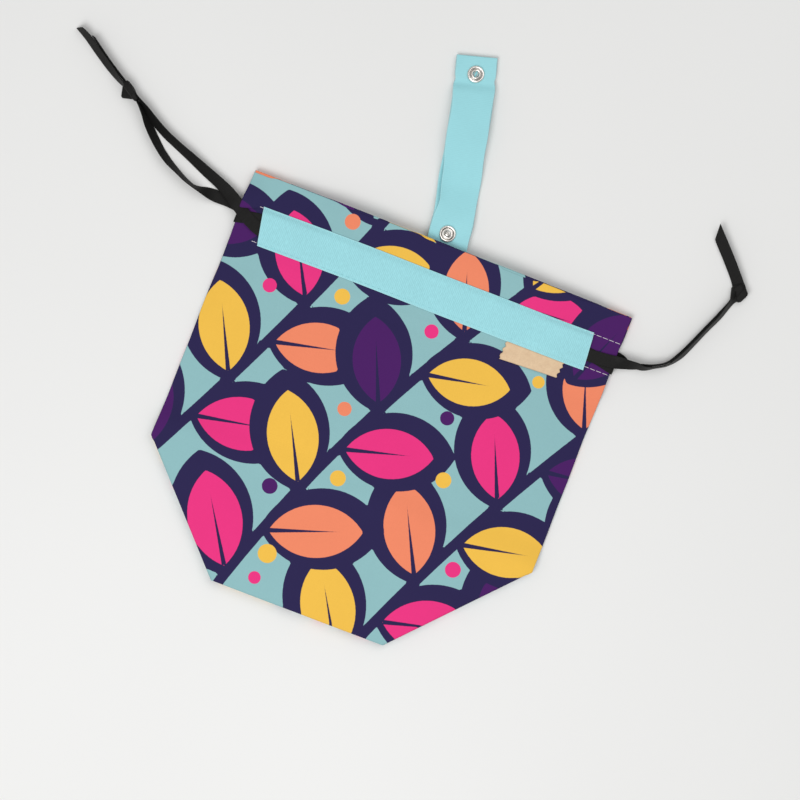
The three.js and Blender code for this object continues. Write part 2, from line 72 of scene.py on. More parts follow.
# Heights of the cloth
LAYER = TAPE_THICKNESS + GAP
CHANNEL = GAP + 2 * LAYER
BACK_LIFT = BAND_THICKNESS + CHANNEL
LIFT_FALLS = (48.0, 60.0)
FOLD_RISE, FOLD_RISES = 4.2, (150.0, 171.0)
CROWN_DOWN = (0, 48, 60, 110, 150, 175, 215, 250)
CROWN_HEIGHT = (5.6, 5.6, 8.0, 8.4, 8.0, 4.2, 3.2, 0.8)
BASE_GAP_CREASE, BASE_GAP_EDGE = 0.3, 0.9

# Slack of the front wall: broad waves, and puckers along the band's stitches and along the side seams.
# A row of puckers has its share across the band and its reach.
SLACK, SLACK_WAVE, SLACK_UNDER_BAND = 0.45, 85.0, 0.25
BAND_STARTS, BAND_STOPS = (8.0, 17.0), (46.0, 60.0)
PUCKER, PUCKER_PITCH, PUCKER_WANDER = 0.16, 9.5, 60.0
PUCKER_ROWS = ((0.04, 5.0), (0.9, 9.0))
SEAM_PUCKER, SEAM_WAVE, SEAM_REACH, SEAM_STARTS = 0.22, 26.0, 9.0, (4.0, 20.0)

# How far the walls' side edges stray, and how far the back shows past the front at the top right
FRONT_STRAY, FRONT_STRAY_WAVE = 0.25, 60.0
BACK_PEEK, BACK_TUCK, BACK_TUCKS = 0.5, 0.2, (14.0, 24.0)

# Lip of cloth that laps over the tape at the left exit: its line, its height and where the cloth rises
LAP_X, LAP_DOWN = (-127.0, -113.0), (24.4, 20.4)
LAP_RISE, LAP_STEP, LAP_REACH, LAP_REACHES = 2.6, 0.3, 0.7, (6.0, 18.0)
LAP_FADES_X, LAP_FADES_DOWN, LAP_SLIDES_X = (112.0, 121.0), (3.0, 17.0), (104.0, 112.0)
LAP_ROWS = (8.0, 22.0, 40.0)

# Lining at the mouth: how far it reaches inside, and how it rolls over a wall's rim, in degrees
LINING_REACH, LINING_REST, LINING_INSET = 4.0, 0.05, 0.4
LINING_WAVE, LINING_SHOWS, LINING_ROLL, LINING_ROLL_MORE = 38.0, (0.1, 0.9), -35.0, 125.0
LINING_LIP, LINING_LIP_LEAST = (0.3, 0.6), 0.1

# Stations close together at a round edge
EDGE_STEPS = np.array([0.0, 0.05, 0.2, 0.45, 0.8, 1.3, 2.0, 3.0])

# Front casing band: its corners (top left, top right, bottom left, bottom right) and its tunnel
BAND_CORNERS = ((-113.5, -19.4), (108.3, -17.3), (-108.5, -44.0), (110.4, -41.9))
BAND_STRAY, BAND_STRAY_WAVE = 0.35, 70.0
BAND_GAP, BAND_LUMP, BAND_LUMP_WAVE = 0.08, 0.1, 24.0
TUNNEL, TUNNEL_END, TUNNEL_RISES_X = 0.75, 0.65, (66.0, 84.0)
ARCH_ACROSS = (0, 0.02, 0.17, 0.83, 0.98, 1)
ARCH_SHARE = (0, 0, 1, 1, 0, 0)
BACK_BAND_REST, BAND_END_MARGIN = 0.05, 0.2

# The two seams of the front band, which run on past its right end, and where the band lies on each
SEAMS = [
    {"start": (-116.2, -20.3), "stop": (126.6, -18.0), "band": (-113.6, 108.8)},
    {"start": (-113.3, -42.2), "stop": (126.2, -39.0), "band": (-109.4, 110.9)},
]
STITCH_PITCH, STITCH_LENGTH, STITCH_RISE, STITCH_BITE = 4.2, 4.1, 0.2, 0.5
BAND_STITCH_SINK, BAND_STITCH_RADIUS, SEAM_STITCH_RADIUS, THREAD_TIP = 0.14, 0.13, 0.18, 0.12

# Tag under the band: its corners like the band's, and its pinked ends
TAG_CORNERS = ((58.6, -42.3), (98.4, -42.0), (57.6, -54.4), (96.6, -52.4))
TAG_TEETH, TAG_TOOTH, TAG_TOOTH_PHASE = 3, 1.3, 0.35
TAG_CURL, TAG_CURL_MIDDLE, TAG_ROUND = 0.5, 0.4, 0.25

# Middle line of the strap above the mouth, from its sewn end to its far end
STRAP_LINE = np.array([
    [7.6, -24.0], [4.6, -10.0], [1.9, 1.6], [-0.4, 19.8], [-4.9, 40.5],
    [-9.6, 61.9], [-14.9, 86.3], [-19.7, 104.7], [-23.4, 117.6],
])
STRAP_FALLS = (13.0, 42.0)
STRAP_REST, STRAP_FOLD, STRAP_TURN = 0.1, 0.62 * RIBBON, 80.0
STRAP_END, STRAP_END_STEPS, STRAP_CROWDING = 4.0, np.array([1, 2, 2.8, 3.4, 3.8]), 1.5

# Shape of the strap by the way along it: wavy edges, a notch and a dip before its far end, and a bow
STRAP_WAVE, STRAP_WAVE_LENGTH, STRAP_WAVE_SHIFT = 0.25, 34.0, 40.0
STRAP_NOTCH, NOTCH_FROM_END, NOTCH_REACH = 0.9, 14.5, 2.0
STRAP_DIP, DIP_FROM_END, DIP_REACH, DIP_LEAN = 1.3, 17.0, 3.0, 0.3
STRAP_CUP, CUP_STARTS = 0.25, (40.0, 70.0)
STRAP_BOW, BOW_START, BOW_SHORTER, BOW_SKEW, BOW_BELOW, BOW_EVENS = 4.0, 50.0, 62.0, 1.6, 0.7, 20.0
STRAP_END_LIFT, END_LIFTS, END_SLACK, END_SLACK_WAVE = 1.9, (60.0, 85.0), 0.1, 42.0

# How the two layers of the strap part along its left edge, in one stretch
STRAP_PEEK, STRAP_PULL, STRAP_GAPE, STRAP_CURL = 0.6, 2.0, 1.7, 1.3
STRAP_PARTS, STRAP_CLOSES = (40, 54), (68, 88)

# Press snap: its places, its profiles as rows of radius and height, and its painted shade by radius, darker
# in the grooves, in the socket's hole and on the stud's ball
SOCKET_PLACE, STUD_PLACE = (-20.1, 106.9), (0.0, 6.9)
SNAP_REST, SNAP_LIFTS, SNAP_SIDES = 0.25, (50.0, 60.0), 64
SOCKET_PROFILE = [
    (1.95, 0.0), (5.3, 0.0), (5.5, 0.12), (5.55, 0.35), (5.5, 0.75), (5.25, 1.15), (4.9, 1.42), (4.5, 1.55),
    (4.15, 1.48), (3.9, 1.2), (3.72, 0.95), (3.5, 0.88), (3.3, 1.0), (3.1, 1.4), (2.8, 1.75), (2.5, 1.82),
    (2.25, 1.75), (2.05, 1.5), (1.97, 1.2), (1.95, 0.8), (1.95, 0.0),
]
STUD_PROFILE = [
    (0.0, 0.0), (5.15, 0.0), (5.35, 0.12), (5.4, 0.35), (5.33, 0.75), (5.05, 1.12), (4.7, 1.35), (4.35, 1.4),
    (4.05, 1.25), (3.8, 0.9), (3.6, 0.62), (3.3, 0.5), (2.6, 0.5), (2.2, 0.6), (1.95, 0.9), (1.85, 1.4),
    (1.95, 1.9), (2.12, 2.4), (2.1, 2.8), (1.85, 3.2), (1.45, 3.45), (0.95, 3.55), (0.6, 3.5), (0.0, 3.42),
]
SOCKET_PAINTED_SHADES = {"radius": (1.96, 2.2, 3.05, 3.3, 3.9, 4.4), "shade": (0.7, 0.95, 0.95, 0.46, 0.46, 1.0)}
STUD_PAINTED_SHADES = {"radius": (1.2, 1.9, 3.2, 3.5, 3.8, 4.2), "shade": (0.55, 0.8, 0.9, 0.4, 0.4, 1.0)}
SPRING_OFFSET, SPRING_BOW, SPRING_REACH, SPRING_HEIGHT = 1.15, 0.55, 2.3, 1.0
SPRING_RADIUS, SPRING_PAINTED_SHADE = 0.28, 0.75

# Drawstrings: how the tapes lie on the cloth, on the floor and on each other, and how their ends are cut
TAPE_REST, TAPE_PITCH = 0.33, 0.58
FLOOR_CLEARANCE, TAPE_SPACING = 0.2, 1.6
TAPE_OFFSETS = np.array([-1, -0.985, -0.94, -0.8, -0.4, 0, 0.4, 0.8, 0.94, 0.985, 1.0])
TAPE_ROUND, CUT_REACH = 0.06, 4.0
KNOT_RIGHT, KNOT_REACH = (184.7, 39.5), 5.9

# Runs through the casing, from where each string comes out to the bag's far edge: x, y and layer
LEFT_RUN = [
    (-104.2, -35.0, 1), (-94, -34, 1), (-80, -30, 1), (-58, -26.5, 0), (80, -26.5, 0),
    (100, -30, 0), (110, -31, 0), (118, -31.9, 0), (127, -33.7, 0),
]
RIGHT_RUN = [
    (104.2, -32.2, 1), (94, -33, 1), (80, -35, 1), (58, -35, 0), (-80, -35, 0),
    (-94, -31.5, 0), (-104, -28.8, 0), (-113, -28.2, 0), (-120, -29.2, 0), (-127, -31, 0),
]
RUN_TURN = 1.0

# Flat folds of tape that make the knots: lowest and highest place, tilt along x and y, and corners
LEFT_FOLDS = [
    (0.25, 8.5, (0.0, 0.0),
     [(-225.0, 21.4), (-222.6, 18.0), (-213.6, 12.6), (-211.4, 14.4), (-216.6, 20.4), (-222.0, 23.6)]),
    (1.2, 2.0, (0.1, 0.12),
     [(-224.8, 20.6), (-222.8, 11.8), (-215.2, 13.6), (-213.6, 16.0), (-219.0, 19.0)]),
    (8.0, 9.2, (0.05, -0.05), [(-222.8, 22.2), (-220.4, 17.0), (-216.4, 14.8), (-216.0, 19.4)]),
]
RIGHT_FOLDS = [
    (0.25, 4.6, (0.0, 0.0), [(178.3, 41.7), (180.6, 33.3), (187.1, 33.8), (190.1, 40.6), (185.0, 46.4)]),
    (4.0, 5.3, (0.06, 0.0), [(178.9, 41.2), (185.8, 33.6), (189.6, 38.8), (183.4, 46.0)]),
    (4.9, 5.9, (-0.05, 0.04), [(183.0, 35.4), (187.0, 34.2), (189.8, 40.4), (186.0, 43.8)]),
]
FOLD_CHAMFER, FOLD_LOWEST = 0.12, 0.05
FOLD_RINGS = ((0.9, 0.0), (1.0, 0.3), (1.0, 0.6), (0.93, 0.9), (0.6, 1.0))

# View of the photograph: straight from above, turned so that the bag leans to the right
PHOTO_WIDTH, PHOTO_CENTRE = 501.7, (10.3, -101.1)
PHOTO_RIGHT = Vector((0.931, 0.3654, 0)).normalized()
PHOTO_UP = Vector((-PHOTO_RIGHT.y, PHOTO_RIGHT.x, 0))
CAMERA_HEIGHT, CLOTH_HEIGHT, SENSOR = 1800.0, 8.0, 36.0

# Lamps: metres right, up and above in the photograph, size in metres and power
LAMPS = {"key": ((-0.4, -0.5, 1.3), 0.9, 11.0), "fill": ((0.6, 0.5, 1.4), 1.4, 6.5)}
STUDIO_LIGHT = 0.41
FLOOR_REACH = 4.0

# Inks of the print, in the order in which they are laid on the aqua ground
AQUA = (0.270, 0.489, 0.511)
INKS = {
    "navy": (0.0243, 0.0187, 0.0767),
    "purple": (0.070, 0.0133, 0.125),
    "coral": (0.849, 0.246, 0.132),
    "yellow": (0.857, 0.509, 0.074),
    "pink": (0.804, 0.0365, 0.218),
}
INK_EDGE, INK_BLEED = 0.12, 0.3

# Leafy sprigs of the print: foot of the stem, its bearing and bend in degrees, its length, and its leaves'
# length, spread in degrees and inks, with the last leaf at the tip
SPRIGS = [
    ((-196, -92), 62, -10, 150, 60, 50, "coral purple pink yellow coral"),
    ((108, -318), 76, -20, 280, 60, 50, "pink yellow purple coral yellow pink coral yellow pink"),
    ((-134, -206), 62, 8, 270, 62, 52, "purple pink yellow coral pink yellow purple pink coral"),
    ((26, -288), 70, -14, 280, 62, 52, "yellow pink coral yellow pink purple coral coral yellow"),
    ((-58, -262), 74, -18, 280, 62, 50, "pink coral yellow pink purple yellow coral pink yellow"),
    ((101, -64), 68, 0, 12, 54, 0, "purple"),
]
STEM_HALF, STEM_STEPS = 3.2, 16
LEAF_FIRST, LEAF_START, LEAF_WIDTH, LEAF_TAPER = 0.6, 4.5, 0.56, 0.22
OUTLINE_LENGTH, OUTLINE_WIDTH, OUTLINE_SHIFT = 19.0, 18.0, 1.6
RIB_SHARE, RIB_HALF, RIB_MARGIN = 0.72, 1.5, 3.0
FAR = 99.0

# Berries of the print: x, y, radius and ink
BERRIES = [
    (-47, -54, 5.0, "yellow"), (13, -54, 4.5, "pink"), (87, -59, 4.0, "yellow"),
    (-92, -64, 4.5, "pink"), (-20, -119, 4.5, "coral"), (42, -101, 4.5, "purple"),
    (54, -138, 5.0, "yellow"), (-8, -161, 5.0, "yellow"), (-46, -181, 5.0, "purple"),
    (80, -188, 5.0, "pink"), (-32, -221, 6.0, "yellow"), (-34, -238, 4.0, "pink"),
    (-58, -8, 5.0, "coral"), (-1, -2, 3.5, "navy"),
]

# Where other pieces of the cloth are cut from the same print
LINING_CUT, BACK_CUT = (64.0, -92.0), (-20.0, 12.0)


# Numbers and places

def smoothstep(value, start, stop):
    share = np.clip((value - start) / (stop - start), 0, 1)
    return share * share * (3 - 2 * share)


def hump(distance, reach):
    """1 at no distance, falling off to almost nothing at twice the reach."""
    return np.exp(-(distance / reach) ** 2)


def round_edge(distance, radius):
    """Share of the full height at a distance inside a round edge."""
    inward = np.clip(distance / np.maximum(radius, 1e-6), 0, 1)
    return np.sqrt(1 - (1 - inward) ** 2)


def waves(x, y, wavelength, seed):
    """Irregular smooth waves of about unit height."""
    draw = np.random.default_rng(seed)
    count = 7
    total = np.zeros(np.broadcast(x, y).shape)
    for bearing, stretch, phase in draw.uniform((0, 0.7, 0), (pi, 1.6, 2 * pi), (count, 3)):
        along = x * cos(bearing) + y * sin(bearing)
        total = total + np.sin(2 * pi * along / (wavelength * stretch) + phase)
    return total / sqrt(count)


def spaced(start, stop, count):
    """Stations from start to stop, close together at both ends, with count steps between those."""
    reach = EDGE_STEPS[-1]
    middle = np.linspace(start + reach, stop - reach, count + 1)[1:-1]
    return np.concatenate([start + EDGE_STEPS, middle, stop - EDGE_STEPS[::-1]])


def heading(bearing):
    return np.array([cos(radians(bearing)), sin(radians(bearing))])


def unit(vectors):
    return vectors / np.linalg.norm(vectors, axis=-1, keepdims=True)


def walked(points):
    """Distance along a line of points, at each of them."""
    return np.concatenate([[0], np.cumsum(np.linalg.norm(np.diff(points, axis=0), axis=1))])


def place(points):
    return (np.asarray(points, float) + (0, MOUTH_Y, 0)) * MM


def ends_across(corners, across):
    """Left and right ends of lines along a patch of four corners, across from 0 at its top to 1."""
    top_left, top_right, bottom_left, bottom_right = np.array(corners)
    share = np.asarray(across, float)[..., None]
    return top_left + (bottom_left - top_left) * share, top_right + (bottom_right - top_right) * share


def grid_between(left, right, along):
    """x and y of rows of places from their left ends to their right ends."""
    places = left[:, None] + (right - left)[:, None] * along[:, None]
    return places[..., 0], places[..., 1]


def edge_distance(across, along, width, length):
    from_side = np.minimum(across, 1 - across)[:, None] * width
    return np.minimum(from_side, np.minimum(along, 1 - along) * length)


def spline(route, steps):
    """Centripetal curve through the rows of a route, with steps points for each stretch."""
    route = np.asarray(route, float)
    ends = np.vstack([2 * route[0] - route[1], route, 2 * route[-1] - route[-2]])
    gaps = np.sqrt(np.linalg.norm(np.diff(ends[:, :3], axis=0), axis=1))
    curve = []
    for k in range(1, len(ends) - 2):
        before, here, there, after = ends[k - 1:k + 3]
        d0, d1, d2 = gaps[k - 1:k + 2]
        leave = ((here - before) / d0 - (there - before) / (d0 + d1) + (there - here) / d1) * d1
        arrive = ((there - here) / d1 - (after - here) / (d1 + d2) + (after - there) / d2) * d1
        for t in np.arange(steps) / steps:
            cubic = (2 * here - 2 * there + leave + arrive) * t ** 3
            square = (3 * there - 3 * here - 2 * leave - arrive) * t ** 2
            curve.append(cubic + square + leave * t + here)
    curve.append(route[-1])
    return np.array(curve)


# Heights of the cloth

def left_edge(down):
    return np.interp(down, (SIDE_LEFT, BOTTOM_LEFT_DOWN), (-HALF_WIDTH, BOTTOM_LEFT_X))


def right_edge(down):
    return np.interp(down, (SIDE_RIGHT, BOTTOM_RIGHT_DOWN), (HALF_WIDTH, BOTTOM_RIGHT_X))


def across_share(x, y):
    """0 in the middle of the bag's width and 1 at its side edges."""
    left, right = left_edge(-y), right_edge(-y)
    return np.clip(np.abs(2 * x - left - right) / (right - left), 0, 1)


def back_low(x, y):
    return BACK_LIFT * (1 - smoothstep(-y, *LIFT_FALLS))


def back_top(x, y):
    return back_low(x, y) + WALL


def front_low_plain(x, y):
    seam = back_top(x, y) + GAP + FOLD_RISE * smoothstep(-y, *FOLD_RISES)
    return seam + np.interp(-y, CROWN_DOWN, CROWN_HEIGHT) * (1 - across_share(x, y) ** 3)


def band_line(x, across):
    """y of a line along the band, across from 0 at its top edge to 1 at its bottom edge."""
    left, right = ends_across(BAND_CORNERS, across)
    return left[1] + (right[1] - left[1]) * (x - left[0]) / (right[0] - left[0])


def wrinkle(x, y):
    """Slack of the front wall."""
    share = across_share(x, y)
    inside = 1 - share ** 4
    free = 1 - smoothstep(-y, *BAND_STARTS) * (1 - smoothstep(-y, *BAND_STOPS))
    slack = SLACK * waves(x, y, SLACK_WAVE, 1) * inside * (SLACK_UNDER_BAND + (1 - SLACK_UNDER_BAND) * free)
    pucker = PUCKER * np.sin(2 * pi * x / PUCKER_PITCH + 2 * waves(x, 0, PUCKER_WANDER, 3)) * inside
    for across, reach in PUCKER_ROWS:
        slack = slack + pucker * hump(y - band_line(x, across), reach)
    seam = SEAM_PUCKER * hump((1 - share) * HALF_WIDTH, SEAM_REACH) * smoothstep(-y, *SEAM_STARTS)
    return slack + seam * waves(y, 0, SEAM_WAVE, 5)


def lap_down(x):
    """Distance below the mouth of the lip of cloth that laps over the tape at the left exit."""
    return np.interp(x, LAP_X, LAP_DOWN)


def lap_rise(x, y):
    above_lip = -y < lap_down(x) + LAP_STEP / 2
    return LAP_RISE * above_lip * smoothstep(-x, *LAP_FADES_X) * smoothstep(-y, *LAP_FADES_DOWN)


def front_low(x, y):
    return front_low_plain(x, y) + wrinkle(x, y) + lap_rise(x, y)


def front_top(x, y):
    return front_low(x, y) + WALL


def base_middle(x, y):
    return (back_top(x, y) + front_low_plain(x, y)) / 2


def base_half_gap(y):
    share = np.clip((-y - CORNER) / (BOTTOM - CORNER), 0, 1)
    return (BASE_GAP_CREASE + (BASE_GAP_EDGE - BASE_GAP_CREASE) * share) / 2


def strap_low(y):
    return (BACK_LIFT + WALL + GAP) * (1 - smoothstep(y, *STRAP_FALLS))


# Print

def leaf_depth(points, base, bearing, length, width):
    """Depth inside a pointed oval of two arcs that starts at base, negative outside it."""
    rel = points - base
    half, belly = length / 2, width / 2
    along = np.abs(rel @ heading(bearing) - half)
    aside = np.abs(rel @ heading(bearing + 90))
    radius = (half * half + belly * belly) / (2 * belly)
    back = radius - belly
    past_tip = (along - half) * back > aside * half
    depth_arc = radius - np.hypot(aside + back, along)
    return np.where(past_tip, -np.hypot(aside, along - half), depth_arc)


def line_depth(points, line, half):
    nearest = np.full(len(points), np.inf)
    for start, stop in zip(line[:-1], line[1:]):
        step = stop - start
        share = np.clip((points - start) @ step / (step @ step), 0, 1)
        nearest = np.minimum(nearest, np.linalg.norm(points - start - share[:, None] * step, axis=1))
    return half - nearest


def cover(depths, outline):
    """Hides what was printed before under the outline of a new motif."""
    for ink in INKS:
        if ink != "navy":
            depths[ink] = np.minimum(depths[ink], -outline)
    depths["navy"] = np.maximum(depths["navy"], outline)


def print_leaf(depths, points, base, bearing, length, ink):
    axis, side = heading(bearing), heading(bearing + 90)
    start = base + axis * LEAF_START
    width = length * LEAF_WIDTH
    shifted = base - axis + side * OUTLINE_SHIFT
    outline = leaf_depth(points, shifted, bearing, length + OUTLINE_LENGTH, width + OUTLINE_WIDTH)
    cover(depths, outline)
    depths[ink] = np.maximum(depths[ink], leaf_depth(points, start, bearing, length, width))
    along = (points - start) @ axis / (length * RIB_SHARE)
    inside = outline > RIB_MARGIN
    depths["rib_offset"] = np.where(inside, (points - start) @ side, depths["rib_offset"])
    depths["rib_half"] = np.where(inside, RIB_HALF * (1 - along), depths["rib_half"])


def stem_line(foot, bearing, bend, length):
    """Points of a stem, and the bearing of each stretch between them."""
    bearings = [bearing + bend * (k + 0.5) / STEM_STEPS for k in range(STEM_STEPS)]
    line = [np.array(foot, float)]
    for turned in bearings:
        line.append(line[-1] + heading(turned) * length / STEM_STEPS)
    return np.array(line), bearings


def print_sprig(depths, points, foot, bearing, bend, length, leaf, spread, inks):
    line, bearings = stem_line(foot, bearing, bend, length)
    depths["navy"] = np.maximum(depths["navy"], line_depth(points, line, STEM_HALF))
    *side_inks, tip_ink = inks.split()
    for k, ink in enumerate(side_inks):
        share = (k + LEAF_FIRST) / len(side_inks)
        step, part = divmod(share * STEM_STEPS, 1)
        here = int(step)
        base = line[here] + (line[here + 1] - line[here]) * part
        aside = bearings[here] + spread * (1 if k % 2 == 0 else -1)
        print_leaf(depths, points, base, aside, leaf * (1 - LEAF_TAPER * share), ink)
    print_leaf(depths, points, line[-1], bearings[-1], leaf, tip_ink)


def print_inks(points):
    """Depth of each cloth point inside each ink, in millimetres, negative outside."""
    depths = {ink: np.full(len(points), -FAR) for ink in INKS}
    depths["rib_offset"] = np.full(len(points), FAR)
    depths["rib_half"] = np.full(len(points), -FAR)
    for sprig in SPRIGS:
        print_sprig(depths, points, *sprig)
    for x, y, radius, ink in BERRIES:
        depths[ink] = np.maximum(depths[ink], radius - np.linalg.norm(points - (x, y), axis=1))
    return depths


# Meshes

def grid_quads(index, flip=False):
    """Quads of a grid of vertex numbers whose rows run down the bag, facing up unless flipped."""
    a, b, c, d = index[:-1, :-1], index[1:, :-1], index[1:, 1:], index[:-1, 1:]
    order = (a, d, c, b) if flip else (a, b, c, d)
    return np.stack(order, axis=-1).reshape(-1, 4)


def vertex_normals(points, quads):
    corners = points[quads]
    normals = np.cross(corners[:, 2] - corners[:, 0], corners[:, 3] - corners[:, 1])
    total = np.zeros_like(points)
    for k in range(4):
        np.add.at(total, quads[:, k], normals)
    return total / np.maximum(np.linalg.norm(total, axis=1, keepdims=True), 1e-12)


def thicken(points, quads, half):
    """Closed sheet around a middle surface: points, quads, and for each point its source and its side."""
    normals = vertex_normals(points, quads)
    thick = half > 1e-6
    outer = points + normals * half[:, None]
    inner = (points - normals * half[:, None])[thick]
    twin = np.arange(len(points))
    twin[thick] = len(points) + np.arange(thick.sum())
    source = np.concatenate([np.arange(len(points)), np.flatnonzero(thick)])
    outside = np.arange(len(source)) < len(points)
    return np.concatenate([outer, inner]), np.concatenate([quads, twin[quads][:, ::-1]]), source, outside


def ribbon(x, y, z, half):
    """Closed strip around a grid of places: points, faces and each point's source number."""
    points = np.stack([x, y, z], axis=-1).reshape(-1, 3)
    index = np.arange(len(points)).reshape(x.shape)
    return thicken(points, grid_quads(index), half.ravel())[:3]


def ring_quads(count, size, base=0):
    """Quads between neighbours of count rings, each of size points, as rows of vertex numbers."""
    rings = base + np.arange(count * size).reshape(count, size)
    after = np.roll(rings, -1, axis=1)
    return np.stack([rings[:-1], after[:-1], after[1:], rings[1:]], axis=-1).reshape(-1, 4)


def ring_caps(count, size, base=0):
    """Faces that close the first and the last of count rings."""
    first = base + np.arange(size)
    return [first[::-1], first + (count - 1) * size]


def lathe(profile, sides):
    """Closed solid turned about z from (radius, height) rows that run from the axis or round a ring."""
    profile = np.array(profile, float)
    angles = np.linspace(0, 2 * pi, sides, endpoint=False)
    points = np.stack([
        np.outer(profile[:, 0], np.cos(angles)),
        np.outer(profile[:, 0], np.sin(angles)),
        np.repeat(profile[:, 1:], sides, axis=1),
    ], axis=-1)
    return points.reshape(-1, 3), ring_quads(len(profile), sides)


def tubes(lines, radius, sides=6):
    """One mesh of many short round threads. lines holds the same number of points for each thread."""
    lines = np.asarray(lines, float)
    length = lines.shape[1]
    tangent = unit(np.gradient(lines, axis=1))
    aside = unit(np.cross(tangent, (0, 0, 1)))
    above = np.cross(aside, tangent)
    swell = radius * np.sqrt(np.clip(1 - np.linspace(-1, 1, length) ** 6, THREAD_TIP, 1))
    angles = np.linspace(0, 2 * pi, sides, endpoint=False)[:, None]
    ring = aside[:, :, None] * np.cos(angles) + above[:, :, None] * np.sin(angles)
    points = lines[:, :, None] + ring * swell[:, None, None]
    faces = []
    for base in range(0, len(lines) * length * sides, length * sides):
        faces += [*ring_quads(length, sides, base), *ring_caps(length, sides, base)]
    return points.reshape(-1, 3), faces


def add_object(name, data):
    thing = bpy.data.objects.new(name, data)
    bpy.context.scene.collection.objects.link(thing)
    return thing


def piece(name, points, faces, material, slot, flat=None, replaces=(), smooth_angle=None):
    """A mesh of bag millimetres that rides on the root. flat holds each point's place in the flat cloth."""
    mesh = bpy.data.meshes.new(name)
    mesh.from_pydata(place(points).tolist(), [], [list(map(int, face)) for face in faces])
    mesh.polygons.foreach_set("use_smooth", np.ones(len(mesh.polygons), bool))
    if smooth_angle is not None:
        mesh.set_sharp_from_angle(angle=radians(smooth_angle))
    if flat is not None:
        loops = np.zeros(len(mesh.loops), np.int32)
        mesh.loops.foreach_get("vertex_index", loops)
        layer = mesh.uv_layers.new(name="cloth")
        layer.data.foreach_set("uv", (np.asarray(flat)[loops] * MM).astype(np.float32).ravel())
    mesh.materials.append(material)
    thing = add_object(name, mesh)
    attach(thing, "root")
    if replaces:
        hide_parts(*replaces)
    return thing


def add_value(thing, name, values):
    """Gives each point of a piece its own value, or all the same one, for the material to read."""
    numbers = np.zeros(len(thing.data.vertices), np.float32)
    numbers[:] = values
    thing.data.attributes.new(name, "FLOAT", "POINT").data.foreach_set("value", numbers)


def printed_piece(name, points, quads, flat, cut, replaces=()):
    """A piece of the printed cloth. cut holds each point's place in the print."""
    thing = piece(name, points, quads, PRINTED_COTTON, "printed_cotton", flat, replaces)
    for ink, depth in print_inks(cut).items():
        add_value(thing, ink, depth)
    return thing


# Materials

class Finish:
    """A new material, with short ways to build it. A value is a number or the output of another node."""

    def __init__(self, name, roughness, **values):
        self.material = bpy.data.materials.new(name)
        self.material.use_nodes = True
        self.tree = self.material.node_tree
        self.shader = self.tree.nodes["Principled BSDF"]
        self.set(Roughness=roughness, **values)

    def attach(self, socket, value):
        if isinstance(value, bpy.types.NodeSocket):
            self.tree.links.new(value, socket)
        else:
            socket.default_value = value

    def set(self, **values):
        """Sets inputs of the shader, with _ for each space in their names."""
        for name, value in values.items():
            self.attach(self.shader.inputs[name.replace("_", " ")], value)

    def node(self, kind, inputs, **settings):
        made = self.tree.nodes.new("ShaderNode" + kind)
        for name, value in settings.items():
            setattr(made, name, value)
        for key, value in inputs.items():
            self.attach(made.inputs[key], value)
        return made

    def calc(self, operation, first, second=0.0):
        return self.node("Math", {0: first, 1: second}, operation=operation).outputs[0]

    def add(self, first, second):
        return self.calc("ADD", first, second)

    def minus(self, first, second):
        return self.calc("SUBTRACT", first, second)

    def times(self, first, second):
        return self.calc("MULTIPLY", first, second)

    def sine(self, value, pitch):
        return self.calc("SINE", self.times(value, 2 * pi / pitch))

    def remap(self, value, start, stop, low=0.0, high=1.0):
        return self.node("MapRange", {0: value, 1: start, 2: stop, 3: low, 4: high}).outputs[0]

    def blend(self, share, first, second, mode="MIX"):
        first, second = (c if isinstance(c, bpy.types.NodeSocket) else (*c, 1.0) for c in (first, second))
        inputs = {0: share, 6: first, 7: second}
        return self.node("Mix", inputs, data_type="RGBA", blend_type=mode).outputs[2]

    def paint(self, colour, tone):
        """Sets the colour, made darker or lighter by tone."""
        grey = self.node("CombineColor", {0: tone, 1: tone, 2: tone}).outputs[0]
        self.set(Base_Color=self.blend(1.0, colour, grey, "MULTIPLY"))

    def read(self, name):
        return self.node("Attribute", {}, attribute_name=name).outputs["Fac"]

    def cloth_place(self):
        """Place in the flat cloth."""
        return self.node("UVMap", {}, uv_map="cloth").outputs[0]

    def object_place(self):
        return self.node("TexCoord", {}).outputs["Object"]

    def parts(self, vector):
        return self.node("SeparateXYZ", {0: vector}).outputs

    def noise(self, vector, size, detail=2.0):
        """Noise whose grains are about one size, or (x, y, z) sizes."""
        scale = tuple(1 / np.broadcast_to(size, 3))
        mapped = self.node("Mapping", {"Vector": vector, "Scale": scale}).outputs[0]
        return self.node("TexNoise", {"Vector": mapped, "Scale": 1.0, "Detail": detail}).outputs["Fac"]

    def bump(self, height, depth, strength=0.6):
        inputs = {"Strength": strength, "Distance": depth, "Height": height}
        self.set(Normal=self.node("Bump", inputs).outputs[0])


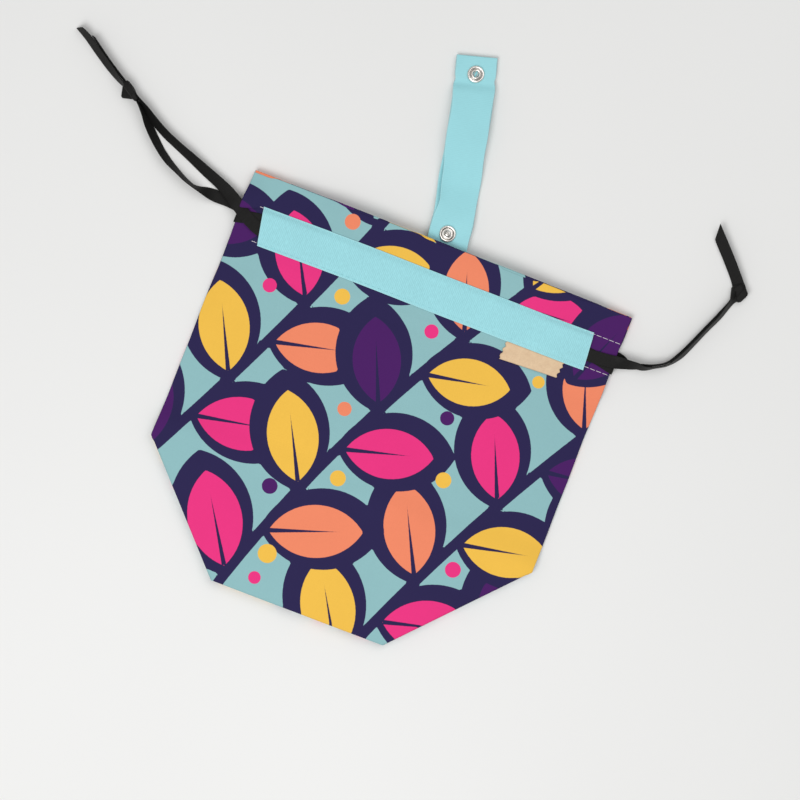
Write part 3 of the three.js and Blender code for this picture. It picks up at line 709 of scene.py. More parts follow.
def printed_cotton():
    cotton = Finish("printed_cotton", 0.85, Sheen_Weight=0.03, Sheen_Roughness=0.5, Specular_IOR_Level=0.12)
    flat = cotton.cloth_place()
    bleed = cotton.times(cotton.minus(cotton.noise(flat, 0.0016), 0.5), INK_BLEED)
    rib = cotton.minus(cotton.read("rib_half"), cotton.calc("ABSOLUTE", cotton.read("rib_offset")))
    colour = AQUA
    for depth, rgb in [*((cotton.read(ink), rgb) for ink, rgb in INKS.items()), (rib, INKS["navy"])]:
        colour = cotton.blend(cotton.remap(cotton.add(depth, bleed), -INK_EDGE, INK_EDGE), colour, rgb)
    warp = cotton.noise(flat, (0.0006, 0.006, 1), 1.0)
    weft = cotton.noise(flat, (0.006, 0.0006, 1), 1.0)
    threads = cotton.add(warp, weft)
    cloudy = cotton.remap(cotton.noise(flat, 0.045), 0.25, 0.75, 0.98, 1.02)
    cotton.paint(colour, cotton.times(cotton.remap(threads, 0.6, 1.4, 0.98, 1.02), cloudy))
    pitch = 0.00085
    u, v, _ = cotton.parts(flat)
    weave = cotton.times(cotton.sine(u, pitch), cotton.sine(v, pitch))
    cotton.bump(cotton.add(cotton.times(weave, 0.5), threads), 0.00005, 0.5)
    return cotton.material


def aqua_ribbon():
    twill = Finish("aqua_ribbon", 0.66, Sheen_Weight=0.06, Sheen_Roughness=0.4, Specular_IOR_Level=0.25)
    flat = twill.cloth_place()
    wander = twill.times(twill.noise(flat, 0.006), 0.0012)
    ribs = twill.sine(twill.add(twill.parts(flat)[0], wander), 0.0011)
    dashes = twill.minus(twill.noise(flat, (0.0007, 0.0028, 1)), 0.5)
    relief = twill.times(twill.add(twill.times(ribs, 0.18), dashes), twill.read("weave"))
    tone = twill.remap(relief, -0.25, 0.3, 0.92, 1.05)
    cloudy = twill.remap(twill.noise(flat, 0.03), 0.25, 0.75, 0.97, 1.03)
    # Lighter near the edges: partly the selvedge's own colour, partly a painted highlight where light
    # catches the edge.
    selvedge_and_highlight = twill.remap(twill.read("edge"), 0.2, 0.8, 0.7, 0.0)
    colour = twill.blend(selvedge_and_highlight, (0.335, 0.697, 0.753), (0.43, 0.76, 0.80))
    twill.paint(colour, twill.times(tone, cloudy))
    twill.bump(relief, 0.00014)
    return twill.material


def black_tape():
    tape = Finish("black_tape", 0.62, Sheen_Weight=0.04, Sheen_Roughness=0.35, Specular_IOR_Level=0.18)
    spot = tape.object_place()
    x, y, _ = tape.parts(spot)
    diagonal = tape.sine(tape.add(x, y), 0.0011)
    relief = tape.add(tape.times(diagonal, 0.3), tape.noise(spot, 0.0009))
    shade = tape.remap(relief, 0.1, 0.9)
    tape.set(Base_Color=tape.blend(shade, (0.0045, 0.0044, 0.0042), (0.0115, 0.011, 0.0102)))
    tape.bump(relief, 0.00012)
    return tape.material


def tan_tag():
    tan = Finish("tan_tag", 0.72, Specular_IOR_Level=0.3)
    flat = tan.cloth_place()
    mottle = tan.noise(flat, 0.004, 4.0)
    fibres = tan.noise(flat, 0.0011, 3.0)
    colour = tan.blend(tan.remap(mottle, 0.3, 0.7), (0.69, 0.49, 0.31), (0.76, 0.56, 0.36))
    worn = tan.remap(tan.read("edge"), 0.0, 0.9, 0.78, 1.0)
    tan.paint(colour, tan.times(worn, tan.remap(fibres, 0.3, 0.7, 0.96, 1.03)))
    tan.bump(tan.add(fibres, mottle), 0.00015)
    return tan.material


def silver():
    metal = Finish("silver", 0.2, Metallic=1.0)
    spot = metal.object_place()
    tarnish = metal.remap(metal.noise(spot, 0.003), 0.35, 0.7)
    # The metal's colour is darkened by each point's painted shade.
    metal.paint(metal.blend(tarnish, (0.93, 0.90, 0.86), (0.85, 0.81, 0.76)), metal.read("shade"))
    metal.set(Roughness=metal.remap(metal.noise(spot, 0.0009, 3.0), 0.3, 0.7, 0.2, 0.3))
    return metal.material


def thread(name, rgb):
    yarn = Finish(name, 0.55, Sheen_Weight=0.2)
    twist = yarn.noise(yarn.object_place(), (0.0003, 0.0012, 0.0003))
    yarn.paint(rgb, yarn.remap(twist, 0.3, 0.7, 0.8, 1.05))
    yarn.bump(twist, 0.00006)
    return yarn.material


PRINTED_COTTON = printed_cotton()
AQUA_RIBBON = aqua_ribbon()
BLACK_TAPE = black_tape()
TAN_TAG = tan_tag()
SILVER = silver()
PALE_THREAD = thread("pale_thread", (0.86, 0.78, 0.84))
RIBBON_THREAD = thread("ribbon_thread", (0.33, 0.70, 0.75))


# Bag walls

def wall_stations(step):
    reach = EDGE_STEPS[-1]
    stop = BOTTOM - WALL / 2
    upper = np.linspace(reach, CORNER, round((CORNER - reach) / step) + 1)[1:]
    lower = np.linspace(CORNER, stop - reach, round((stop - reach - CORNER) / step) + 1)[1:-1]
    return np.concatenate([EDGE_STEPS, upper, lower, stop - EDGE_STEPS[::-1]])


def lap_rows(x, y):
    """Slides rows of the front wall near the left exit, so that two of them follow the lip of the lap."""
    top, lip, end = (int(np.argmax(-y[:, 0] > down)) for down in LAP_ROWS)
    rows = np.arange(len(y))[:, None]
    before = np.clip((rows - top) / (lip - top), 0, 1) * (rows <= lip)
    after = np.clip((end - rows) / (end - lip - 1), 0, 1) * (rows > lip)
    to_lip = -lap_down(x[lip]) - y[lip]
    to_foot = -lap_down(x[lip + 1]) - LAP_STEP - y[lip + 1]
    return y + smoothstep(-x[lip], *LAP_SLIDES_X) * (to_lip * before + to_foot * after)


def wall_grid(step, bulge, slide):
    """x and y of a wall's middle surface by rows, with each row's station and ends."""
    stations = wall_stations(step)
    upper = np.minimum(stations / CORNER, 1)
    lower = np.maximum(stations - CORNER, 0) / (BOTTOM - CORNER)
    left_down = SIDE_LEFT * upper + (BOTTOM_LEFT_DOWN - SIDE_LEFT) * lower
    right_down = SIDE_RIGHT * upper + (BOTTOM_RIGHT_DOWN - SIDE_RIGHT) * lower
    inset = WALL / 2 * sqrt(2) * smoothstep(stations, CORNER, CORNER + CORNER_TURN)
    left = left_edge(left_down) + inset - bulge(stations, -1)
    right = right_edge(right_down) - inset + bulge(stations, 1)
    count = round(2 * HALF_WIDTH / step)
    x = np.array([spaced(a, b, count) for a, b in zip(left, right)])
    share = (x - left[:, None]) / (right - left)[:, None]
    y = -(left_down[:, None] * (1 - share) + right_down[:, None] * share)
    return x, slide(x, y), stations, left, right


def wall(panel_height, flap_height, step, faces_up, bulge, slide):
    """Closed sheet of a wall with its half of the folded base: points, faces, flat places and sides."""
    x, y, stations, left, right = wall_grid(step, bulge, slide)
    rows, columns = x.shape
    corner_row = int(np.flatnonzero(stations >= CORNER - 1e-6)[0])
    station = np.repeat(stations[:, None], columns, axis=1)
    from_side = np.minimum(x - left[:, None], right[:, None] - x)
    panel, flap = panel_height(x, y), flap_height(x, y)
    middle, radius = (panel + flap) / 2, np.abs(panel - flap) / 2
    bent = round_edge(np.minimum(from_side / sqrt(2), stations[-1] - station), radius)
    turning = smoothstep(station, CORNER - CORNER_TURN, CORNER + CORNER_TURN)
    panel = panel + turning * (middle + (panel - middle) * bent - panel)
    flap = flap + turning * (middle + (flap - middle) * bent - flap)
    to_corner = np.minimum(
        np.hypot(x - x[corner_row, 0], y - y[corner_row, 0]),
        np.hypot(x - x[corner_row, -1], y - y[corner_row, -1]),
    )
    free = np.where(station < CORNER - 1e-6, np.minimum(from_side, station), to_corner)
    panel_half = WALL / 2 * round_edge(free, WALL / 2)
    flap_half = WALL / 2 * round_edge(station - CORNER, WALL / 2)

    panel_index = np.arange(rows * columns).reshape(rows, columns)
    flap_index = panel_index[corner_row:].copy()
    own = np.ones(flap_index.shape, bool)
    own[1:, 0] = own[1:, -1] = own[-1] = False
    flap_index[own] = rows * columns + np.arange(own.sum())
    points = np.stack([x, y, panel], axis=-1).reshape(-1, 3)
    flap_points = np.stack([x, y, flap], axis=-1)[corner_row:][own]
    half = np.concatenate([panel_half.ravel(), flap_half[corner_row:][own]])
    flat = np.concatenate([points[:, :2], flap_points[:, :2] * (1, -1) - (0, 2 * BOTTOM)])
    quads = np.concatenate([grid_quads(panel_index, not faces_up), grid_quads(flap_index, faces_up)])
    points, quads, source, outside = thicken(np.concatenate([points, flap_points]), quads, half)
    return points, quads, flat[source], outside[:, None]


def front_bulge(stations, side):
    lap = LAP_REACH * smoothstep(stations, *LAP_REACHES) * (stations < LAP_ROWS[1]) * (side < 0)
    return FRONT_STRAY * waves(stations, 0, FRONT_STRAY_WAVE, 11 + side) * (stations < CORNER) + lap


def back_bulge(stations, side):
    tucked = smoothstep(stations, *BACK_TUCKS)
    return BACK_PEEK * (side > 0) * (1 - tucked) - BACK_TUCK * tucked


def make_front_wall():
    points, quads, flat, outside = wall(
        lambda x, y: front_low(x, y) + WALL / 2,
        lambda x, y: base_middle(x, y) + base_half_gap(y) + WALL / 2,
        FRONT_STEP, True, front_bulge, lap_rows)
    cut = np.where(outside, flat, flat + LINING_CUT)
    return printed_piece("front_wall", points, quads, flat, cut, ["bag_front"])


def make_back_wall():
    points, quads, flat, outside = wall(
        lambda x, y: back_low(x, y) + WALL / 2,
        lambda x, y: base_middle(x, y) - base_half_gap(y) - WALL / 2,
        BACK_STEP, False, back_bulge, lambda x, y: y)
    cut = np.where(outside, flat * (-1, 1) + BACK_CUT, flat + LINING_CUT)
    return printed_piece("back_wall", points, quads, flat, cut, ["bag_back"])


def make_lining_rim(name, low, seed):
    """The lining's edge, rolled over the rim of a wall from its inside."""
    x = spaced(-HALF_WIDTH + LINING_INSET, HALF_WIDTH - LINING_INSET, 125)
    shown = smoothstep(waves(x, 0, LINING_WAVE, seed), *LINING_SHOWS)
    radius = WALL / 2 + LINING / 2 + LINING_REST
    last = np.radians(LINING_ROLL + LINING_ROLL_MORE * shown)
    rows = [(inward + 0 * x, -radius + 0 * x) for inward in (-LINING_REACH, -LINING_REACH / 2, -WALL / 2)]
    for share in np.linspace(0, 1, 11)[1:]:
        angle = -pi / 2 + (last + pi / 2) * share
        rows.append((-WALL / 2 + radius * np.cos(angle), radius * np.sin(angle)))
    lip_y, lip_z = rows[-1]
    for reach in LINING_LIP:
        ahead = reach * (LINING_LIP_LEAST + (1 - LINING_LIP_LEAST) * shown)
        rows.append((lip_y - ahead * np.sin(last), lip_z + ahead * np.cos(last)))
    y, z = np.array(rows).transpose(1, 0, 2)
    x = np.broadcast_to(x, y.shape)
    z = z + low(x, y) + WALL / 2
    along = walked(np.column_stack([y[:, 0], z[:, 0]]))[:, None]
    from_end = np.minimum(along, along[-1] - along)
    from_side = np.minimum(x - x[:, :1], x[:, -1:] - x)
    half = LINING / 2 * round_edge(np.minimum(from_end, from_side), LINING / 2)
    points, quads, source = ribbon(x, y, z, half)
    flat = np.stack(np.broadcast_arrays(x, along), axis=-1).reshape(-1, 2)[source]
    return printed_piece(name, points, quads[:, ::-1], flat, flat + LINING_CUT)


# Casing bands and their stitches

def strip(name, node, material, slot, grid, half, edge, flat, flip=False):
    """A piece of ribbon or tag. Its material reads how far each point is from the edge."""
    points, quads, source = ribbon(*grid, half)
    quads = quads[:, ::-1] if flip else quads
    flat = np.stack(flat, axis=-1).reshape(-1, 2)[source]
    thing = piece(name, points, quads, material, slot, flat, [node])
    add_value(thing, "edge", edge.ravel()[source])
    return thing


def arch_at(across):
    """Height of the band's tunnel across its width, from 0 to 1."""
    share = np.interp(across, ARCH_ACROSS, ARCH_SHARE)
    return share * (3 - 2 * share) * share


def make_band(name, node, height, seed):
    across = spaced(0, BAND_WIDTH, 14) / BAND_WIDTH
    along = spaced(0, BAND_LENGTH, 120) / BAND_LENGTH
    x, y = grid_between(*ends_across(BAND_CORNERS, across), along)
    y = y + BAND_STRAY * waves(x, 0, BAND_STRAY_WAVE, seed) * np.abs(2 * across - 1)[:, None]
    z = height(x, y, arch_at(across)[:, None])
    edge = edge_distance(across, along, BAND_WIDTH, BAND_LENGTH)
    half = RIBBON / 2 * round_edge(edge, RIBBON / 2)
    thing = strip(name, node, AQUA_RIBBON, "aqua_ribbon", (x, y, z), half, edge, (x, y))
    add_value(thing, "weave", BAND_WEAVE)
    return thing


def front_band_height(x, y, arch):
    lumps = BAND_LUMP * (1 + waves(x, y, BAND_LUMP_WAVE, 21)) * arch
    tunnel = TUNNEL + TUNNEL_END * smoothstep(np.abs(x), *TUNNEL_RISES_X)
    return front_top(x, y) + BAND_GAP + tunnel * arch + RIBBON / 2 + lumps


def back_band_height(x, y, arch):
    return (CHANNEL - GAP) * (1 - arch) + RIBBON / 2 + BACK_BAND_REST + 0 * x


def band_top_height(x, y):
    """Top of the front band, or of the cloth beside it."""
    top, bottom = band_line(x, 0), band_line(x, 1)
    across = np.clip((top - y) / (top - bottom), 0, 1)
    left, right = ends_across(BAND_CORNERS, across)
    over = (x > left[:, 0] + BAND_END_MARGIN) & (x < right[:, 0] - BAND_END_MARGIN)
    return np.where(over, front_band_height(x, y, arch_at(across)) + RIBBON / 2, front_top(x, y))


def stitch_lines(start, stop):
    """Threads along a straight seam of the band, each an arc that dips into the cloth at both ends."""
    start, stop = np.array(start), np.array(stop)
    total = np.linalg.norm(stop - start)
    step = (stop - start) / total
    bow = np.linspace(-1, 1, 7)
    rise = STITCH_RISE - STITCH_BITE * np.abs(bow) ** 3
    count = round(total / STITCH_PITCH)
    lines = []
    for k in range(count):
        flat = start + step * (k + 0.5) * total / count + step * bow[:, None] * STITCH_LENGTH / 2
        lines.append(np.column_stack([flat, band_top_height(flat[:, 0], flat[:, 1]) + rise]))
    return lines


def make_stitches():
    """Both seams of the band: threads that sink into the ribbon, and pale ones on the cloth beside it."""
    on_band, beside = [], []
    for seam in SEAMS:
        for line in stitch_lines(seam["start"], seam["stop"]):
            over_band = seam["band"][0] < line[0, 0] and line[-1, 0] < seam["band"][1]
            (on_band if over_band else beside).append(line)
    sunk = tubes(np.array(on_band) - (0, 0, BAND_STITCH_SINK), BAND_STITCH_RADIUS)
    pale = tubes(beside, SEAM_STITCH_RADIUS)
    return (piece("band_stitches", *sunk, RIBBON_THREAD, "aqua_ribbon"),
            piece("seam_stitches", *pale, PALE_THREAD, "printed_cotton"))


# Tag

def make_tag():
    across = spaced(0, TAG_WIDTH, 14) / TAG_WIDTH
    along = spaced(0, TAG_LENGTH, 28) / TAG_LENGTH
    tooth = np.abs((across * TAG_TEETH * 2 + TAG_TOOTH_PHASE) % 2 - 1) * TAG_TOOTH
    left, right = ends_across(TAG_CORNERS, across)
    left[:, 0] += tooth
    right[:, 0] -= TAG_TOOTH - tooth
    x, y = grid_between(left, right, along)
    to_ends = TAG_CURL_MIDDLE + (1 - TAG_CURL_MIDDLE) * np.abs(2 * along - 1) ** 3
    z = front_top(x, y) + GAP / 2 + TAG_THICKNESS / 2 + TAG_CURL * across[:, None] ** 2 * to_ends
    edge = edge_distance(across, along, TAG_WIDTH, TAG_LENGTH)
    half = TAG_THICKNESS / 2 * round_edge(edge, TAG_ROUND)
    return strip("tag", "side_tag", TAN_TAG, "tan_tag", (x, y, z), half, edge, (x, y))


# Snap strap

def strap_rows():
    """Rows of the strap: middle, way across, distance along the line, lift off the fold, and full length."""
    line = spline(np.column_stack([STRAP_LINE, 0 * STRAP_LINE[:, 0]]), 12)[:, :2]
    length = walked(line)
    total = length[-1] - STRAP_FOLD
    near_end = total - STRAP_END
    stations = np.concatenate([np.linspace(0, near_end, 88), near_end + STRAP_END_STEPS])
    turn = np.radians(np.linspace(-STRAP_TURN, STRAP_TURN, 7))
    s = np.concatenate([stations, total + STRAP_FOLD * np.cos(turn), stations[::-1]])
    lift = STRAP_FOLD * np.concatenate([-1 + 0 * stations, np.sin(turn), 1 + 0 * stations])
    ahead_x, ahead_y = unit(np.gradient(line, axis=0)).T
    middle = np.column_stack([np.interp(s, length, line[:, k]) for k in (0, 1)])
    aside = np.column_stack([np.interp(s, length, ahead_y), -np.interp(s, length, ahead_x)])
    return middle, aside, s[:, None], lift[:, None], total


def make_strap():
    """A ribbon that runs up under itself, turns over at the far end and comes back down on top."""
    middle, aside, s, lift, total = strap_rows()
    upper = lift > 0
    offset = np.linspace(-1, 1, 25)
    columns = np.sign(offset) * (1 - (1 - np.abs(offset)) ** STRAP_CROWDING)
    leftward = np.clip(-columns, 0, 1)
    parted = smoothstep(s, *STRAP_PARTS) * (1 - smoothstep(s, *STRAP_CLOSES))
    notch = STRAP_NOTCH * hump(total - s - NOTCH_FROM_END, NOTCH_REACH)
    wavy = STRAP_WAVE * waves(s, lift * STRAP_WAVE_SHIFT, STRAP_WAVE_LENGTH, 31)
    reach = STRAP_WIDTH / 2 + wavy - notch
    shift = parted * np.where(upper, STRAP_PULL * leftward ** 2, -STRAP_PEEK)
    places = middle[:, None] + aside[:, None] * (reach * columns + shift)[..., None]
    cup = STRAP_CUP * columns ** 2 * smoothstep(s, *CUP_STARTS)
    gape = parted * np.where(upper, STRAP_GAPE * leftward ** 2, STRAP_CURL * leftward ** 8)
    bow = STRAP_BOW * np.sin(pi * np.clip((s - BOW_START) / (total - BOW_SHORTER), 0, 1) ** BOW_SKEW)
    evened = smoothstep(s, total - BOW_EVENS, total - STRAP_END)
    bow = bow * np.where(upper, 1.0, BOW_BELOW + (1 - BOW_BELOW) * evened)
    dip = STRAP_DIP * hump(total - s - DIP_FROM_END, DIP_REACH) * (1 - DIP_LEAN * columns)
    slack = (STRAP_END_LIFT + END_SLACK * waves(s, 0, END_SLACK_WAVE, 33)) * smoothstep(s, *END_LIFTS)
    z = strap_low(middle[:, 1:]) + RIBBON + STRAP_REST + lift + cup + gape + bow + slack - dip
    edge = reach * (1 - np.abs(columns))
    half = RIBBON / 2 * round_edge(edge, RIBBON / 2)
    half[[0, -1]] = 0
    flat = np.broadcast_arrays(walked(np.hstack([s, lift]))[:, None], reach * columns)
    grid = (places[..., 0], places[..., 1], z)
    thing = strip("strap", "snap_strap", AQUA_RIBBON, "aqua_ribbon", grid, half, edge, flat, flip=True)
    add_value(thing, "weave", STRAP_WEAVE)
    return thing


# Press snap

def snap_height(spot):
    return strap_low(spot[1]) + 2 * RIBBON + SNAP_REST + STRAP_END_LIFT * smoothstep(spot[1], *SNAP_LIFTS)


def make_snap(name, node, profile, painted_shades, spot):
    shape, faces = lathe(profile, SNAP_SIDES)
    points = shape + (*spot, snap_height(spot))
    thing = piece(name, points, faces, SILVER, "silver", replaces=[node], smooth_angle=50)
    radius = np.hypot(shape[:, 0], shape[:, 1])
    # Painted shade by radius: darker in the grooves, in the socket's hole and on the stud's ball.
    add_value(thing, "shade", np.interp(radius, painted_shades["radius"], painted_shades["shade"]))
    return thing


def make_socket_spring():
    """Two bowed wires across the socket's hole, which grip the ball of the stud."""
    along = np.linspace(-1, 1, 9)
    lines = []
    for side in (-1, 1):
        aside = side * (SPRING_OFFSET - SPRING_BOW * along ** 2)
        lines.append(np.column_stack([aside, along * SPRING_REACH, 0 * along + SPRING_HEIGHT]))
    points, faces = tubes(np.array(lines) + (*SOCKET_PLACE, snap_height(SOCKET_PLACE)), SPRING_RADIUS, 8)
    # The spring wires get a painted shade, darker than the snap's rims.
    add_value(piece("socket_spring", points, faces, SILVER, "silver"), "shade", SPRING_PAINTED_SHADE)


# Drawstrings

def on_front(x, y, layer=1, roll=0):
    return (x, y, float(front_top(x, y)) + TAPE_REST + layer * TAPE_PITCH, roll)


def on_back(x, y, layer=1):
    return (x, y, float(back_low(x, y)) - GAP - TAPE_THICKNESS / 2 - layer * LAYER, 0)


def lying(roll, layer):
    """Height of a tape's middle line where the tape lies on the floor, on one edge if rolled."""
    reach = TAPE_WIDTH / 2 * abs(sin(radians(roll))) + TAPE_THICKNESS / 2 * abs(cos(radians(roll)))
    return FLOOR_CLEARANCE + reach + layer * LAYER


def on_floor(x, y, roll, layer=0):
    return (x, y, lying(roll, layer), roll)


def against(x, y, bearing, roll):
    """Row of a tape that lies against the upper face of another tape of the same bearing and roll."""
    aside_x, aside_y = TAPE_SPACING * sin(radians(roll)) * heading(bearing - 90)
    return (x + aside_x, y + aside_y, lying(roll, 0) + TAPE_SPACING * cos(radians(roll)), roll)


def from_knot(bearing, roll, layer):
    return on_floor(*(KNOT_RIGHT + KNOT_REACH * heading(bearing)), roll, layer)


def rows(lies, *places):
    return [lies(*spot) for spot in places]


# Way that both strands of the right string share, from the bag to the knot: x, y, bearing and roll
RIGHT_WAY = [
    (151, -22.5, 32, 84), (157.5, -18.4, 42, 83), (163.2, -10.8, 55, 72),
    (168.0, -0.2, 66, 73), (172.4, 10.6, 67, 74), (177.0, 21.2, 67, 72),
]

# Routes of the four free ends: x, y, z and roll in degrees, from the casing to the knot and past it.
# A roll above 0 raises the side on the left of the way.
LEFT_UPPER_ROUTE = [
    *rows(on_front, (-104.6, -35.0), (-111.5, -33.6), (-117.0, -31.4), (-122.5, -28.6), (-127.0, -25.8)),
    (-131.0, -22.9, 6.2, -6), (-137, -19.3, 4.8, -16), (-145, -15.7, 3.6, -28),
    *rows(on_floor, (-156.7, -11.3, -36), (-168.1, -6.9, -46), (-179.1, -2.8, -52), (-188.2, 0.9, -52, 0.3),
          (-197, 5.6, -54, 0.6), (-205, 11.0, -66, 0.3), (-211.6, 15.3, -82), (-219.4, 19.8, -82),
          (-227, 24.3, -82), (-238, 31.2, -82), (-252.4, 41.3, -84)),
]
LEFT_LOWER_ROUTE = [
    *rows(on_back, (-104.6, -31.3), (-111.3, -30.2), (-119, -27.6), (-127, -24.8)),
    (-135, -23.8, 1.1, 4),
    *rows(on_floor, (-144, -23.9, 10), (-150, -23.9, 34), (-155, -23.8, 60), (-160, -23.3, 74),
          (-166, -21.4, 72), (-172, -18.6, 68), (-180, -14.6, 58), (-187, -9.8, 55), (-194, -3.7, 52),
          (-200, 2.2, 54), (-205, 7.6, 66), (-211.6, 13.2, 82), (-219.4, 17.8, 90), (-226.5, 21.2, 108),
          (-236, 27.0, 122), (-247, 34.0, 123), (-256, 39.8, 120), (-262.8, 43.2, 112)),
]
RIGHT_UPPER_ROUTE = [
    *rows(on_front, (104.6, -31.8), (112.3, -31.5), (120, -30.8), (127, -29.8, 1, 4)),
    (131, -29.0, 6.2, 24), (135.5, -28.2, 5.7, 44), (140.5, -27.1, 5.4, 58),
    *rows(against, (145.5, -25.2, 22, 72), *RIGHT_WAY),
    from_knot(246, 56, 0.8), on_floor(*KNOT_RIGHT, 15, 2), from_knot(122, -26, 1.2),
    *rows(on_floor, (172.2, 55.2, -34, 1.2), (163.4, 64.4, -34, 1.2), (157.6, 70.4, -38, 1.2)),
]
RIGHT_LOWER_ROUTE = [
    *rows(on_back, (104.6, -32.2), (112.3, -31.0), (120, -28.6), (126.5, -26.9)),
    (131, -27.4, 2.0, 22),
    *rows(on_floor, (135.5, -28.4, 50), (140.5, -27.3, 62), (145.5, -25.2, 74)),
    *[on_floor(x, y, roll) for x, y, _, roll in RIGHT_WAY],
    from_knot(246, 60, 0), on_floor(*KNOT_RIGHT, 15, 1), from_knot(122, -26, 0),
    *rows(on_floor, (172.2, 55.2, -34), (163.4, 64.4, -34), (158.6, 69.4, -38)),
]


def tape_rings(curve, cut=0.0, across=None):
    """Rings of a flat tape along rows of x, y, z and roll. cut slants its end, across fixes its side."""
    places, rolls = curve[:, :3], np.radians(curve[:, 3:])
    tangent = unit(np.gradient(places, axis=0))
    level = unit(np.cross((0, 0, 1), tangent) if across is None else np.tile(across, (len(curve), 1)))
    side = level * np.cos(rolls) + np.cross(tangent, level) * np.sin(rolls)
    normal = np.cross(tangent, side)
    way = walked(places)[:, None]
    slant = cut * np.exp((way - way[-1]) / CUT_REACH)
    past_flat = np.clip(np.abs(TAPE_OFFSETS) - 1 + TAPE_ROUND, 0, TAPE_ROUND)
    thick = TAPE_THICKNESS / 2 * np.sqrt(1 - (past_flat / TAPE_ROUND) ** 2)
    offsets = np.concatenate([TAPE_OFFSETS, TAPE_OFFSETS[-2:0:-1]])
    heights = np.concatenate([thick, -thick[-2:0:-1]])[:, None]
    rings = places[:, None] + side[:, None] * (offsets * TAPE_WIDTH / 2)[:, None] + normal[:, None] * heights
    return rings + tangent[:, None] * (slant * offsets)[..., None]


def tape_piece(name, rings, nodes):
    count, size, _ = rings.shape
    quads = ring_quads(count, size)[:, [0, 3, 2, 1]]
    caps = [cap[::-1] for cap in ring_caps(count, size)]
    return piece(name, rings.reshape(-1, 3), [*quads, *caps], BLACK_TAPE, "black_tape",
                 replaces=nodes, smooth_angle=40)


def make_cord(name, route, nodes, cut):
    """A free end of a string, from the casing to its cut end."""
    curve = spline(route, 8)
    curve[:, 2] = np.maximum(curve[:, 2], [lying(roll, 0) for roll in curve[:, 3]])
    thing = tape_piece(name, tape_rings(curve, cut), nodes)


def make_run(name, node, run):
    """A string's run along the front, round the bag's far edge and back behind it."""
    front, back = rows(on_front, *run), rows(on_back, *run[::-1])
    edge_x, edge_y, top, _ = front[-1]
    bottom = back[0][2]
    side = 1 if edge_x > 0 else -1
    turn = []
    for angle in np.radians(np.arange(60, -90, -30)):
        height = (top + bottom) / 2 + (top - bottom) / 2 * sin(angle)
        turn.append((edge_x + side * RUN_TURN * cos(angle), edge_y, height, 0))
    curve = np.vstack([spline(front, 10), turn, spline(back, 10)])
    tape_piece(name, tape_rings(curve, across=(0, side, 0)), [node])


def fold_rings(low, high, tilt, corners):
    """Rings of a flat fold of tape with a rounded rim, between two heights."""
    corners = np.array(corners)
    after = np.roll(corners, -1, axis=0)
    step = (after - corners) * FOLD_CHAMFER
    outline = np.stack([corners + step, after - step], axis=1).reshape(-1, 2)
    centre = outline.mean(axis=0)
    rings = []
    for share, height in FOLD_RINGS:
        flat = centre + (outline - centre) * share
        z = low + (high - low) * height + (flat - centre) @ np.array(tilt)
        rings.append(np.column_stack([flat, np.maximum(z, FOLD_LOWEST)]))
    return np.array(rings)


def make_knot(name, node, folds):
    """Flat folds of tape, one over the other, that wrap the strands at a knot."""
    points, faces = np.zeros((0, 3)), []
    for fold in folds:
        rings = fold_rings(*fold)
        count, size, _ = rings.shape
        faces += [*ring_quads(count, size, len(points)), *ring_caps(count, size, len(points))]
        points = np.concatenate([points, rings.reshape(-1, 3)])
    return piece(name, points, faces, BLACK_TAPE, "black_tape", replaces=[node], smooth_angle=50)


# Stage

def pale_floor():
    plain = Finish("floor", 0.9)
    mottle = plain.remap(plain.noise(plain.object_place(), 0.5), 0.3, 0.7)
    plain.set(Base_Color=plain.blend(mottle, (0.80, 0.80, 0.79), (0.83, 0.83, 0.82)))
    mesh = bpy.data.meshes.new("floor")
    corners = [(x * FLOOR_REACH, y * FLOOR_REACH, 0) for x, y in ((-1, -1), (1, -1), (1, 1), (-1, 1))]
    mesh.from_pydata(corners, [], [(0, 1, 2, 3)])
    mesh.materials.append(plain.material)
    floor = add_object("floor", mesh)


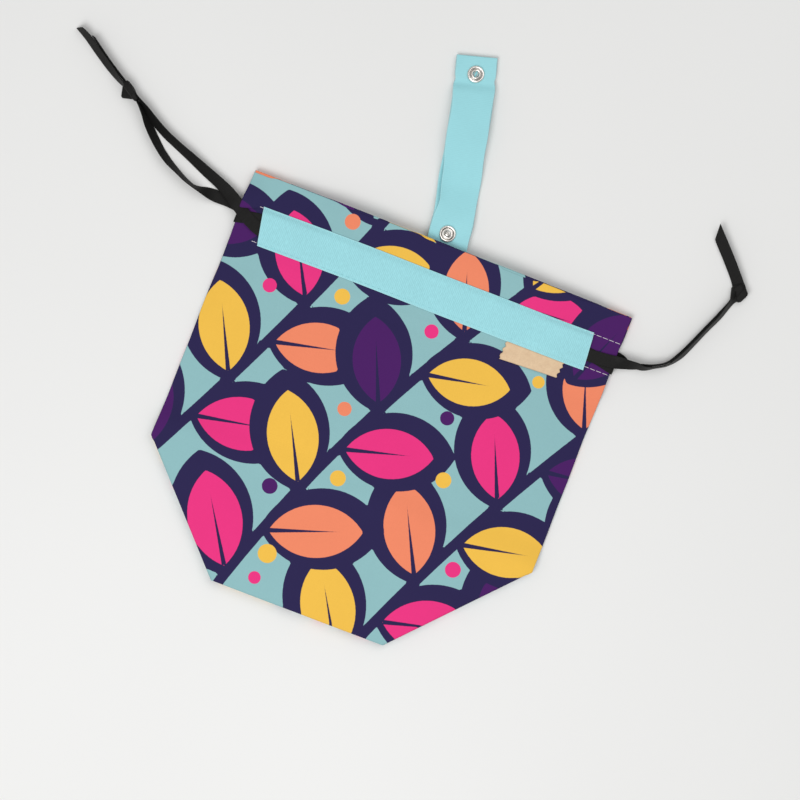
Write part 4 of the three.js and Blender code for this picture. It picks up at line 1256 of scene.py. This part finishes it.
def make_lights():
    centre = Vector(place([*PHOTO_CENTRE, 0]))
    for name, ((right, up, above), size, power) in LAMPS.items():
        light = bpy.data.lights.new(name, "AREA")
        light.shape = "DISK"
        light.size = size
        light.energy = power
        thing = add_object(name, light)
        thing.location = centre + PHOTO_UP * up + PHOTO_RIGHT * right + Vector((0, 0, above))
        thing.rotation_euler = (centre - thing.location).to_track_quat("-Z", "Y").to_euler()
    world = bpy.data.worlds.new("studio")
    world.use_nodes = True
    background = world.node_tree.nodes["Background"].inputs
    background["Color"].default_value = (1.0, 1.0, 1.0, 1.0)
    background["Strength"].default_value = STUDIO_LIGHT
    bpy.context.scene.world = world
    bpy.context.scene.view_settings.view_transform = "Standard"


def make_camera():
    data = bpy.data.cameras.new("camera")
    data.sensor_width = SENSOR
    data.lens = SENSOR * (CAMERA_HEIGHT - CLOTH_HEIGHT) / PHOTO_WIDTH
    camera = add_object("camera", data)
    axes = Matrix((PHOTO_RIGHT, PHOTO_UP, Vector((0, 0, 1)))).transposed()
    camera.matrix_world = Matrix.Translation(Vector(place([*PHOTO_CENTRE, CAMERA_HEIGHT]))) @ axes.to_4x4()
    bpy.context.scene.camera = camera


# Assembly

make_camera()
make_lights()
pale_floor()

knot_left = make_knot("knot_wrap_left", "knot_left", LEFT_FOLDS)
knot_right = make_knot("knot_wrap_right", "knot_right", RIGHT_FOLDS)
make_cord("cord_left_upper", LEFT_UPPER_ROUTE, ["string_left_front", "tail_left_upper"], 1.5)
make_cord("cord_left_lower", LEFT_LOWER_ROUTE, ["string_left_back", "tail_left_lower"], -1.5)
make_cord("cord_right_upper", RIGHT_UPPER_ROUTE, ["string_right_front", "tail_right_upper"], -4.0)
make_cord("cord_right_lower", RIGHT_LOWER_ROUTE, ["string_right_back", "tail_right_lower"], -3.0)
make_run("run_left", "string_left_run", LEFT_RUN)
make_run("run_right", "string_right_run", RIGHT_RUN)

front_wall = make_front_wall()
back_wall = make_back_wall()
rim_front = make_lining_rim("lining_rim_front", front_low, 41)
rim_back = make_lining_rim("lining_rim_back", back_low, 43)
band_front = make_band("band_front", "casing_band_front", front_band_height, 23)
band_back = make_band("band_back", "casing_band_back", back_band_height, 25)
band_stitches, seam_stitches = make_stitches()
tag = make_tag()
strap = make_strap()
make_snap("socket_snap", "snap_socket", SOCKET_PROFILE, SOCKET_PAINTED_SHADES, SOCKET_PLACE)
make_snap("stud_snap", "snap_stud", STUD_PROFILE, STUD_PAINTED_SHADES, STUD_PLACE)
make_socket_spring()
